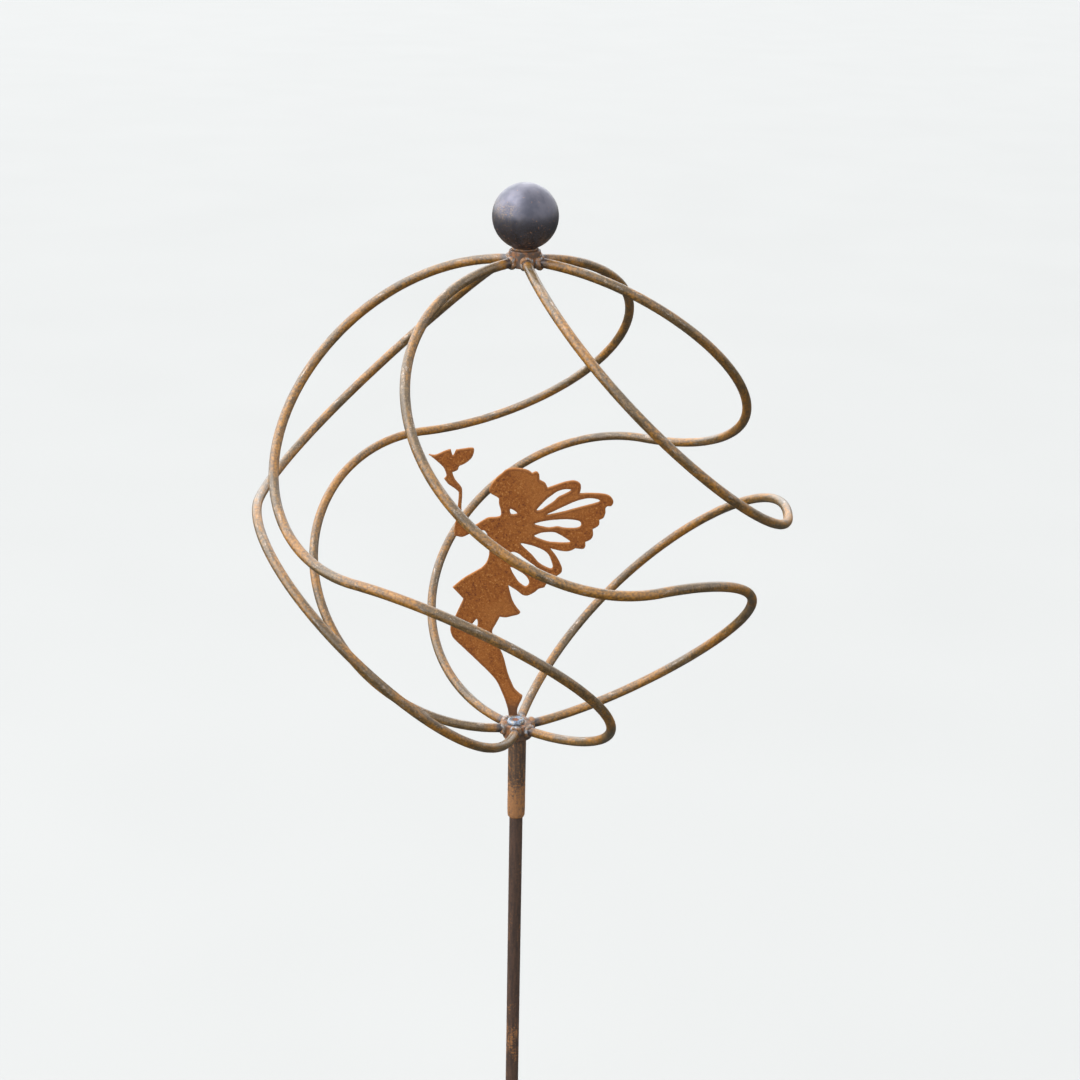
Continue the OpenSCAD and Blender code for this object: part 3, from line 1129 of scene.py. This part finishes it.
@dataclass
class TopPiece:
    """The top hub, the hollow ball on it and the weld between them."""

    edge: float = 1.1 * MM
    wall: float = 1.8 * MM
    weld_reach: tuple[float, float] = (2.2 * MM, 1.5 * MM)
    weld_inset: float = 1.9 * MM
    weld_rise: float = 0.7 * MM

    def hub(self) -> bpy.types.Object:
        """Turns the top hub, with rounded edges and a beaten side."""
        low, high = (corner.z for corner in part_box("top_hub"))
        _, radius = upright("top_hub")
        profile = [(0.0, low), (radius / 2, low), *disc_side(radius, low, high, self.edge)]
        profile += [(radius / 2, high), (0.0, high)]
        beaten = hollows(0.12 * MM, 5 * MM, 4.0)
        return turned("crown_hub", graded(profile, 1.5 * MM), 72, relief=beaten)

    def ball(self) -> bpy.types.Object:
        """Turns the hollow ball: an outer skin with faint dents, and the inside of its wall."""
        low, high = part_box("ball_finial")
        centre, radius = (low + high) / 2, (high.z - low.z) / 2
        outer = arc((0.0, centre.z), radius, -90, 90, 72)
        inner = arc((0.0, centre.z), radius - self.wall, 90, -90, 36)
        outer[0], outer[-1] = (0.0, centre.z - radius), (0.0, centre.z + radius)
        inner[0], inner[-1] = (0.0, inner[0][1]), (0.0, inner[-1][1])

        def dents(point: Vector) -> float:
            """How far the pressing has left a point inside the true ball."""
            return -0.05 * MM * abs(wave(point, 14 * MM, 2.0) + 0.5 * wave(point, 5 * MM, 6.0))

        skin = turned("hollow_ball", outer, 144, relief=dents)
        lining = turned("ball_lining", inner, 72)
        work = bmesh.new()
        work.from_mesh(skin.data)
        work.from_mesh(lining.data)
        work.to_mesh(skin.data)
        work.free()
        bpy.data.objects.remove(lining)
        return skin

    def weld(self) -> bpy.types.Object:
        """Lays the bead between the hub's top and the ball's underside."""
        hub_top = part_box("top_hub")[1].z
        middle = upright("ball_weld")[1] - self.weld_inset
        height = hub_top + self.weld_rise
        ring = ring_bead(middle, height, self.weld_reach, seed=8.0, ripple=1.7 * MM, lumps=0.22)
        return welded("ball_bead", [ring])

    def build(
        self, hub: bpy.types.Material, ball: bpy.types.Material, bead: bpy.types.Material
    ) -> None:
        """Makes the top.

        Args:
            hub: the hub's material.
            ball: the ball's material.
            bead: the weld's material.
        """
        deliver(self.hub(), "head", Slot.HUB, hub, "top_hub")
        deliver(self.ball(), "head", Slot.BALL, ball, "ball_finial")
        deliver(self.weld(), "head", Slot.BEAD, bead, "ball_weld")


@dataclass
class Socket:
    """The lower hub, the tube that the pole goes into, its plug, and their welds."""

    edge: float = 1.1 * MM
    wall: float = 1.5 * MM
    lip: float = 3 * MM
    play: float = 0.08 * MM
    weld_ring: float = 5.2 * MM
    weld_reach: tuple[float, float] = (2.7 * MM, 2.9 * MM)
    weld_rise: float = 0.9 * MM
    weld_centre: tuple[float, float] = (-1.6 * MM, -1.6 * MM)
    fill_ring: float = 1.6 * MM
    fill_reach: tuple[float, float] = (1.9 * MM, 1.1 * MM)

    def hub(self) -> bpy.types.Object:
        """Turns the lower hub round the tube."""
        low, high = (corner.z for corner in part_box("lower_hub"))
        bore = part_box("socket_tube")[1].x
        _, radius = upright("lower_hub")
        profile = [(bore, low), *disc_side(radius, low, high, self.edge), (bore, high)]
        beaten = hollows(0.12 * MM, 5 * MM, 9.0, bore + MM)
        return turned("lower_hub_disc", graded(profile, 1.5 * MM), 72, closed=True, relief=beaten)

    def tube(self) -> bpy.types.Object:
        """Turns the socket tube, with its mouth rolled in towards the pole."""
        low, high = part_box("socket_tube")
        radius, mouth = high.x, low.z
        bore = radius - self.wall
        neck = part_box("pole")[1].x + self.play
        profile = [(neck, mouth + 0.3 * MM), (neck + 0.3 * MM, mouth), (radius - 1.0 * MM, mouth)]
        profile += [(radius - 0.45 * MM, mouth + 0.6 * MM), (radius - 0.25 * MM, mouth + self.lip / 2)]
        profile += [(radius - 0.05 * MM, mouth + 1.7 * self.lip), (radius, mouth + 2.4 * self.lip)]
        profile += [(radius, high.z), (bore, high.z), (bore, mouth + 2 * self.lip), (neck, mouth + self.lip)]
        drawn = hollows(0.04 * MM, 11 * MM, 5.0, bore + 0.3 * MM)
        return turned("swaged_tube", graded(profile, 3 * MM), 96, closed=True, relief=drawn, crease=35.0)

    def ring_weld(self) -> bpy.types.Object:
        """Lays the bright ring over the tube's plugged end, with metal in its hollow."""
        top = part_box("socket_tube")[1].z
        height, at = top + self.weld_rise, self.weld_centre
        reach, fill = self.weld_reach, self.fill_reach
        ring = ring_bead(self.weld_ring, height, reach, at, seed=21.0, ripple=2.1 * MM, lumps=0.24)
        middle = ring_bead(self.fill_ring, height, fill, at, steps=36, seed=4.0, lumps=0.3)
        return welded("bright_ring_weld", [ring, middle])

    def collar(self) -> bpy.types.Object:
        """Lays the bead between the tube and the hub's underside."""
        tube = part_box("socket_tube")[1].x
        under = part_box("lower_hub")[0].z
        ring = ring_bead(tube + 0.2 * MM, under - 0.1 * MM, (1.7 * MM, 1.7 * MM), seed=30.0, lumps=0.2)
        return welded("collar_bead", [ring])

    def build(
        self,
        hub: bpy.types.Material,
        tube: bpy.types.Material,
        bead: bpy.types.Material,
        bright: bpy.types.Material,
        bearing: bpy.types.Material,
    ) -> None:
        """Makes the socket.

        Args:
            hub: the hub's material.
            tube: the tube's material.
            bead: the collar bead's material.
            bright: the ring weld's material.
            bearing: the loose ball's material.
        """
        deliver(self.hub(), "head", Slot.HUB, hub, "lower_hub")
        deliver(self.tube(), "head", Slot.POLE, tube, "socket_tube")
        deliver(self.ring_weld(), "head", Slot.BRIGHT, bright, "plug_weld")
        deliver(self.collar(), "head", Slot.BEAD, bead, "collar_weld")
        for node, finish in (("tube_plug", tube), ("bearing_ball", bearing)):
            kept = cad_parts[node]
            kept.data.materials.clear()
            kept.data.materials.append(finish)
            kept.data.shade_smooth()
            log.info("%s keeps its own mesh", node)


# ---------------------------------------------------------------------------------------
# The fairy
# ---------------------------------------------------------------------------------------


@dataclass
class FairyPlate:
    """The fairy, flame-cut from plate: a burred edge all round and a scaled face."""

    node: str = "fairy_silhouette"
    step: float = 0.8 * MM
    inner_step: float = 1.5 * MM
    bevel: float = 0.45 * MM
    corner: float = 28.0
    ragged: float = 0.16 * MM
    sunk: float = 0.14 * MM

    def outlines(self) -> list[np.ndarray]:
        """Reads the plate's outline and its cut-outs off the front of the CAD plate.

        Returns:
            Closed loops of (X, Z), the metal always on their left.
        """
        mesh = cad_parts[self.node].data
        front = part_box(self.node)[0].y
        key = [tuple(round(c / (MM * MM)) for c in v.co) for v in mesh.vertices]
        flat = [abs(v.co.y - front) < 0.01 * MM for v in mesh.vertices]
        edges: dict[tuple, tuple] = {}
        for face in mesh.polygons:
            if all(flat[v] for v in face.vertices):
                ring = [key[v] for v in face.vertices]
                for a, b in zip(ring, ring[1:] + ring[:1]):
                    if (b, a) in edges:
                        del edges[b, a]
                    else:
                        edges[a, b] = (a, b)
        follow = {a: b for a, b in edges}
        loops = []
        while follow:
            start, point = follow.popitem()
            loop = [start]
            while point != start:
                loop.append(point)
                point = follow.pop(point)
            loops.append(np.array([(p[0], p[2]) for p in loop]) * MM * MM)
        loops.sort(key=lambda loop: -abs(self.area(loop)))
        ways = [1] + [-1] * (len(loops) - 1)
        return [loop if self.area(loop) * way > 0 else loop[::-1] for loop, way in zip(loops, ways)]

    @staticmethod
    def area(loop: np.ndarray) -> float:
        """A loop's area, above 0 where it runs anticlockwise."""
        x, z = loop.T
        return float(np.sum(x * np.roll(z, -1) - np.roll(x, -1) * z) / 2)

    def smooth(self, loop: np.ndarray) -> np.ndarray:
        """Refines a loop, keeping its sharp corners.

        Args:
            loop: its points.

        Returns:
            Points about a step apart on a smooth curve between corners.
        """
        back, ahead = loop - np.roll(loop, 1, 0), np.roll(loop, -1, 0) - loop
        cross = back[:, 0] * ahead[:, 1] - back[:, 1] * ahead[:, 0]
        turn = np.degrees(np.abs(np.arctan2(cross, (back * ahead).sum(1))))
        sharp = turn > self.corner
        count = len(loop)
        made = []
        for i in range(count):
            b, c = loop[i], loop[(i + 1) % count]
            a = b if sharp[i] else loop[i - 1]
            d = c if sharp[(i + 1) % count] else loop[(i + 2) % count]
            parts = max(1, round(float(np.linalg.norm(c - b)) / self.step))
            for k in range(parts):
                t = k / parts
                curve = 2 * b + (c - a) * t + (2 * a - 5 * b + 4 * c - d) * t * t
                made.append(0.5 * (curve + (3 * b - a - 3 * c + d) * t**3))
        return np.array(made)

    @staticmethod
    def lefts(loop: np.ndarray) -> np.ndarray:
        """The directions into the metal, at each point of a loop."""
        way = np.roll(loop, -1, 0) - np.roll(loop, 1, 0)
        way /= np.linalg.norm(way, axis=1)[:, None]
        return np.stack([-way[:, 1], way[:, 0]], 1)

    def burred(self, loop: np.ndarray) -> np.ndarray:
        """A loop with the uneven edge that flame cutting leaves."""
        cut = [0.5 + 0.5 * wave(Vector((p[0], 0, p[1])), 2.6 * MM, 12.0) for p in loop]
        return loop + self.lefts(loop) * (np.array(cut) * self.ragged)[:, None]

    @staticmethod
    def inside(points: np.ndarray, loops: Sequence[np.ndarray]) -> np.ndarray:
        """Which points lie in the metal.

        Args:
            points: (X, Z) of each.
            loops: the outline and the cut-outs.

        Returns:
            True for each point in the metal.
        """
        odd = np.zeros(len(points), bool)
        x, z = points.T
        for loop in loops:
            for (x0, z0), (x1, z1) in zip(loop, np.roll(loop, -1, 0)):
                spans = (z0 > z) != (z1 > z)
                if z1 != z0:
                    odd ^= spans & (x < x0 + (z - z0) * (x1 - x0) / (z1 - z0))
        return odd

    @staticmethod
    def nearest(points: np.ndarray, loops: Sequence[np.ndarray]) -> np.ndarray:
        """Each point's distance to the nearest edge.

        Args:
            points: (X, Z) of each.
            loops: the outline and the cut-outs.

        Returns:
            The distances.
        """
        best = np.full(len(points), np.inf)
        for loop in loops:
            for start, end in zip(loop, np.roll(loop, -1, 0)):
                line = end - start
                t = np.clip((points - start) @ line / max(line @ line, 1e-18), 0, 1)
                best = np.minimum(best, ((points - start - t[:, None] * line) ** 2).sum(1))
        return np.sqrt(best)

    def face(self, rims: Sequence[np.ndarray]) -> tuple[np.ndarray, list[list[int]]]:
        """Fills the plate's face with small triangles.

        Args:
            rims: the outline and cut-outs, a bevel's width inside the metal.

        Returns:
            The points, the rims' own first and in order, and the triangles.
        """
        edge = np.concatenate(rims)
        links, first = [], 0
        for rim in rims:
            links += [(first + k, first + (k + 1) % len(rim)) for k in range(len(rim))]
            first += len(rim)
        low, high = edge.min(0), edge.max(0)
        xs = np.arange(low[0], high[0], self.inner_step)
        zs = np.arange(low[1], high[1], self.inner_step)
        grid = np.array([(x + (k % 2) * self.inner_step / 2, z) for k, z in enumerate(zs) for x in xs])
        grid += np.random.default_rng(5).uniform(-0.2, 0.2, grid.shape) * self.inner_step
        grid = grid[self.inside(grid, rims)]
        grid = grid[self.nearest(grid, rims) > 0.6 * self.step]
        points = np.concatenate([edge, grid])
        sites = [Vector(p / MM) for p in points]
        found = geometry.delaunay_2d_cdt(sites, links, [], 0, 1e-6)
        origin = [own[0] if own else -1 for own in found[3]]
        corners = np.array([list(t) for t in found[2]])
        middles = np.array([tuple(p) for p in found[0]])[corners].mean(1) * MM
        kept = corners[self.inside(middles, rims)]
        return points, [[origin[c] for c in t] for t in kept if all(origin[c] >= 0 for c in t)]

    def build(self, finish: bpy.types.Material) -> None:
        """Makes the plate.

        Args:
            finish: its material.
        """
        low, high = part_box(self.node)
        loops = [self.burred(self.smooth(loop)) for loop in self.outlines()]
        rims = [loop + self.lefts(loop) * self.bevel for loop in loops]
        flat, triangles = self.face(rims)
        away = self.nearest(flat, loops)
        count = len(flat)
        points, stored, faces = [], [], []
        for side, level, way in ((0, low.y, 1), (1, high.y, -1)):
            for (x, z), gap in zip(flat, away):
                scale = 0.5 + 0.5 * wave(Vector((x, level, z)), 2.2 * MM, 3.0)
                burr = min(1.0, max(0.0, (gap - self.bevel) / (1.2 * MM)))
                points.append((x, level + way * self.sunk * burr * (0.4 + 0.6 * scale), z))
                stored.append(gap)
            for t in triangles:
                faces.append([side * count + c for c in (t if side == 0 else t[::-1])])
        levels = (low.y + self.bevel, (low.y + high.y) / 2, high.y - self.bevel)
        first, base = 0, len(points)
        for loop in loops:
            size = len(loop)
            for level in levels:
                points += [(x, level, z) for x, z in loop]
                stored += [0.0] * size
            rows = [first, base, base + size, base + 2 * size, count + first]
            for above, below in zip(rows, rows[1:]):
                faces += over(band(range(above, above + size), range(below, below + size)))
            first += size
            base += 3 * size
        piece = new_piece("fairy_plate", np.array(points), faces, 50.0)
        turn_outwards(piece.data)
        edge = piece.data.attributes.new("edge", "FLOAT", "POINT")
        edge.data.foreach_set("value", np.array(stored, np.float32))
        deliver(piece, "head", Slot.PLATE, finish, self.node)

    def weld(self, finish: bpy.types.Material) -> None:
        """Lays the two beads that hold the plate's foot to the lower hub.

        Args:
            finish: their material.
        """
        low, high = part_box("fairy_weld")
        plate_low, plate_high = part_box(self.node)
        runs = []
        for y, seed in ((plate_low.y - 0.2 * MM, 2.0), (plate_high.y + 0.2 * MM, 6.0)):
            line = [Vector((x, y, low.z + 0.1 * MM)) for x in np.linspace(low.x, high.x, 28)]
            across, up = [Vector((0, 1, 0))] * len(line), [Vector((0, 0, 1))] * len(line)
            runs.append(BeadRun(line, across, up, (1.5 * MM, 2.2 * MM), closed=False, seed=seed))
        deliver(welded("foot_beads", runs), "head", Slot.BEAD, finish, "fairy_weld")


# ---------------------------------------------------------------------------------------
# Pole and ground fork
# ---------------------------------------------------------------------------------------


@dataclass
class Stand:
    """The pole, its foot bar, three prongs and their welds."""

    cup_radius: float = 6.1 * MM
    cup_depth: float = 1.1 * MM
    chamfer: float = 0.7 * MM
    clip: float = 5 * MM
    tip_radius: float = 0.8 * MM
    tip_length: float = 25 * MM
    root: float = 0.3 * MM

    def pole(self) -> bpy.types.Object:
        """Turns the pole, with the small cup in its top that the loose ball sits in."""
        low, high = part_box("pole")
        radius = high.x
        rim = math.sqrt(self.cup_radius**2 - (self.cup_radius - self.cup_depth) ** 2)
        profile = [(0.0, low.z), (radius, low.z), (radius, high.z - 1.5 * self.chamfer)]
        profile += [(radius - self.chamfer, high.z), (rim, high.z)]
        profile += [(rim / 2, high.z - 0.75 * self.cup_depth), (0.0, high.z - self.cup_depth)]
        drawn = hollows(0.04 * MM, 13 * MM, 1.0, radius - 0.1 * MM)
        return turned("pole_bar", graded(profile, 4 * MM), 64, relief=drawn)

    def foot(self) -> bpy.types.Object:
        """Cuts the foot bar, with clipped corners and rolled edges."""
        low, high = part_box("foot_bar")
        x, y, c = high.x, high.y, self.clip
        right = [(x - c, -y), (x, c - y), (x, y - c), (x - c, y)]
        outline = right + [(-a, b) for a, b in reversed(right)]
        work = bmesh.new()
        rings = [[work.verts.new((a, b, z)) for a, b in outline] for z in (low.z, high.z)]
        work.faces.new(rings[0][::-1])
        work.faces.new(rings[1])
        for k in range(len(outline)):
            n = (k + 1) % len(outline)
            work.faces.new([rings[0][k], rings[0][n], rings[1][n], rings[1][k]])
        bmesh.ops.bevel(work, geom=work.edges[:], offset=0.7 * MM, segments=3, affect="EDGES", profile=0.5)
        bmesh.ops.triangulate(work, faces=[f for f in work.faces if len(f.verts) > 4])
        points = np.array([v.co[:] for v in work.verts])
        faces = [[v.index for v in f.verts] for f in work.faces]
        work.free()
        return new_piece("fork_bar", points, faces, 30.0)

    def prong(self, node: str) -> bpy.types.Object:
        """Turns one prong and grinds its point by hand.

        Args:
            node: the CAD prong that it stands for.

        Returns:
            The prong.
        """
        low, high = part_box(node)
        axis, radius = upright(node)
        shoulder = low.z + self.tip_length
        profile = [(0.0, low.z), (self.tip_radius, low.z + 0.4 * MM), (radius, shoulder)]
        root = radius - self.root
        profile += [(radius, 0.3 * MM), (root, 0.8 * MM), (root, high.z), (0.0, high.z)]

        def ground(point: Vector) -> float:
            """Flats that the grinder left round the point, and faint waves above it."""
            turn = math.atan2(point.y, point.x)
            share = min(1.0, max(0.0, (shoulder - point.z) / self.tip_length))
            flats = abs(math.sin(2.5 * turn + axis[0] * 100))
            waves = 0.03 * MM * abs(wave(point, 9 * MM, axis[0] * 50))
            return -point.xy.length * 0.13 * flats * share - waves

        return turned(f"{node}_bar", graded(profile, 5 * MM), 40, at=axis, relief=ground)

    def welds(self) -> tuple[bpy.types.Object, bpy.types.Object]:
        """Lays the beads round the pole's foot and the prongs' roots.

        Returns:
            The pole's bead, and the three prongs' beads as one piece.
        """
        foot_low, foot_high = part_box("foot_bar")
        pole_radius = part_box("pole")[1].x
        reach = (1.9 * MM, 1.9 * MM)
        pole = ring_bead(pole_radius + 0.3 * MM, foot_high.z + 0.2 * MM, reach, seed=40.0, lumps=0.2)
        prongs = []
        for node in PRONGS:
            axis, radius = upright(node)
            radius -= self.root
            under = foot_low.z - 0.2 * MM
            prongs.append(ring_bead(radius + 0.3 * MM, under, reach, axis, 72, seed=50 + radius, lumps=0.2))
        return welded("pole_bead", [pole]), welded("prong_beads", prongs)

    def build(self, steel: bpy.types.Material, bead: bpy.types.Material) -> None:
        """Makes the stand.

        Args:
            steel: the bars' material.
            bead: the welds' material.
        """
        deliver(self.pole(), "pole", Slot.POLE, steel, "pole")
        deliver(self.foot(), "pole", Slot.POLE, steel, "foot_bar")
        for node in PRONGS:
            deliver(self.prong(node), "pole", Slot.POLE, steel, node)
        pole_bead, prong_beads = self.welds()
        deliver(pole_bead, "pole", Slot.BEAD, bead, "pole_weld")
        deliver(prong_beads, "pole", Slot.BEAD, bead, "prong_welds")


# ---------------------------------------------------------------------------------------
# Studio
# ---------------------------------------------------------------------------------------


@dataclass(frozen=True)
class Glow:
    """A brighter part of the sky: where its middle is, how near that it starts, and how bright."""

    bearing: tuple[float, float, float]
    edge: float
    strength: float


@dataclass
class Studio:
    """A pale floor, a sky brighter in two places, a large lamp overhead and the camera."""

    lamp_reach: tuple[float, float, float] = (-1.6, -0.4, 3.0)
    lamp_size: float = 2.4
    lamp_glow: float = 1.6
    floor_size: float = 120.0
    floor_colour: Colour = (0.46, 0.46, 0.45)
    look_down: float = 20.53
    tilt: float = 1.13
    aside: tuple[float, float] = (-16.2 * MM, -30.5 * MM)
    distance: float = 1.6
    lens: float = 62.67
    sensor: float = 36.0
    sky_top: float = 1.10
    sky_side: float = 0.90
    glows: tuple[Glow, ...] = (
        Glow((-0.30, 0.86, 0.41), 0.40, 1.9),
        Glow((-0.84, -0.34, 0.42), 0.45, 1.7),
    )
    sky_colour: Colour = (0.96, 0.98, 1.0)
    ground: float = 0.11
    ground_colour: Colour = (1.0, 1.0, 0.88)

    def floor(self) -> None:
        """Lays the floor level with the prongs' points."""
        level = CAD_BOX[0].z
        half = self.floor_size / 2
        corners = [(-half, -half, level), (half, -half, level), (half, half, level), (-half, half, level)]
        piece = new_piece("studio_floor", np.array(corners), [[0, 1, 2, 3]])
        s = Shader.called("studio_floor")
        cloud = s.mottle(s.place(), 0.6, 1.0)
        colour = s.shade(self.floor_colour, 0.98 + cloud * 0.04)
        piece.data.materials.append(s.finish(1.45, colour, 0.9))
        # The floor takes light and shadow but throws none back up, as dark ground would
        piece.visible_diffuse = False
        piece.visible_glossy = False

    def sky(self) -> None:
        """Lights the scene from all round: most from above, least from under the horizon."""
        world = bpy.data.worlds.new("studio_light")
        s = Shader(world)
        way = Wire(s, s.node("ShaderNodeTexCoord", {}, {}).outputs["Generated"])
        across, along, rise = s.parts(way)
        above = s.ease(rise, -0.15, 0.12)
        bright = self.sky_side + rise * (self.sky_top - self.sky_side)
        for glow in self.glows:
            x, y, z = glow.bearing
            bright = bright + s.ease(across * x + along * y + rise * z, glow.edge, 1.0) * glow.strength
        strength = s.blend(above, self.ground, bright)
        tint = s.mix(above, self.ground_colour, self.sky_colour)
        light = s.node("ShaderNodeBackground", {}, {"Color": tint, "Strength": strength})
        s.node("ShaderNodeOutputWorld", {}, {"Surface": Wire(s, light.outputs[0])})
        bpy.context.scene.world = world

    def lamp(self, centre: Vector) -> None:
        """Hangs the large soft lamp.

        Args:
            centre: the cage's middle, which the lamp faces.
        """
        data = bpy.data.lights.new("overhead", "AREA")
        data.shape = "RECTANGLE"
        data.size = data.size_y = self.lamp_size
        data.energy = self.lamp_glow * math.pi * self.lamp_size**2
        lamp = bpy.data.objects.new("overhead", data)
        lamp.location = centre + Vector(self.lamp_reach)
        lamp.rotation_euler = (centre - lamp.location).to_track_quat("-Z", "Y").to_euler()
        bpy.context.scene.collection.objects.link(lamp)

    def camera(self, centre: Vector) -> None:
        """Sets the camera up before the cage.

        Args:
            centre: the cage's middle.
        """
        down, tilt = math.radians(self.look_down), math.radians(self.tilt)
        right = Vector((1, 0, 0))
        below = Vector((0, -math.sin(down), -math.cos(down)))
        ahead = Vector((0, math.cos(down), -math.sin(down)))
        x_axis = right * math.cos(tilt) - below * math.sin(tilt)
        y_axis = -(right * math.sin(tilt) + below * math.cos(tilt))
        data = bpy.data.cameras.new("camera")
        data.sensor_width = self.sensor
        data.lens = self.lens
        data.clip_start, data.clip_end = 0.05, 200.0
        camera = bpy.data.objects.new("camera", data)
        place = centre - x_axis * self.aside[0] + y_axis * self.aside[1] - ahead * self.distance
        turn = Matrix((x_axis, y_axis, -ahead)).transposed().to_4x4()
        camera.matrix_world = Matrix.Translation(place) @ turn
        bpy.context.scene.collection.objects.link(camera)
        bpy.context.scene.camera = camera

    def build(self, centre: Vector) -> None:
        """Makes the studio.

        Args:
            centre: the cage's middle.
        """
        self.floor()
        self.sky()
        self.lamp(centre)
        self.camera(centre)
        bpy.context.scene.view_settings.view_transform = "Standard"


def main() -> None:
    """Builds every piece of the sculpture and its studio."""
    logging.basicConfig(level=logging.INFO, format="%(name)s: %(message)s")
    hub = HubSteel().material()
    bead = BeadSteel().material()
    crown_bead = BeadSteel("crown_bead", bright_share=0.15, skin=(0.12, 0.065, 0.04)).material()
    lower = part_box("socket_tube")[0].z
    mouth = RustBelt(lower - 10 * MM, lower + 34 * MM, 0.16)
    middle = RustBelt(0.49, 0.53, 0.14)
    soil = RustBelt(-0.3, 0.02, 0.10)
    tube = PoleSteel("tube_steel", (mouth,), brown=(0.150, 0.080, 0.040), rust_share=0.07).material()
    steel = PoleSteel("pole_steel", (middle, soil)).material()

    cage = Cage()
    cage.build(RodSteel().material(), bead)
    TopPiece().build(hub, BallScale().material("ball_finial"), crown_bead)
    socket = Socket()
    bright = BrightWeld().material(socket.weld_centre)
    socket.build(hub, tube, bead, bright, BearingSteel().material())
    fairy = FairyPlate()
    fairy.build(PlateRust().material(fairy.node))
    fairy.weld(bead)
    Stand().build(steel, bead)
    Studio().build(cage.centre)


if __name__ == "__main__":
    main()
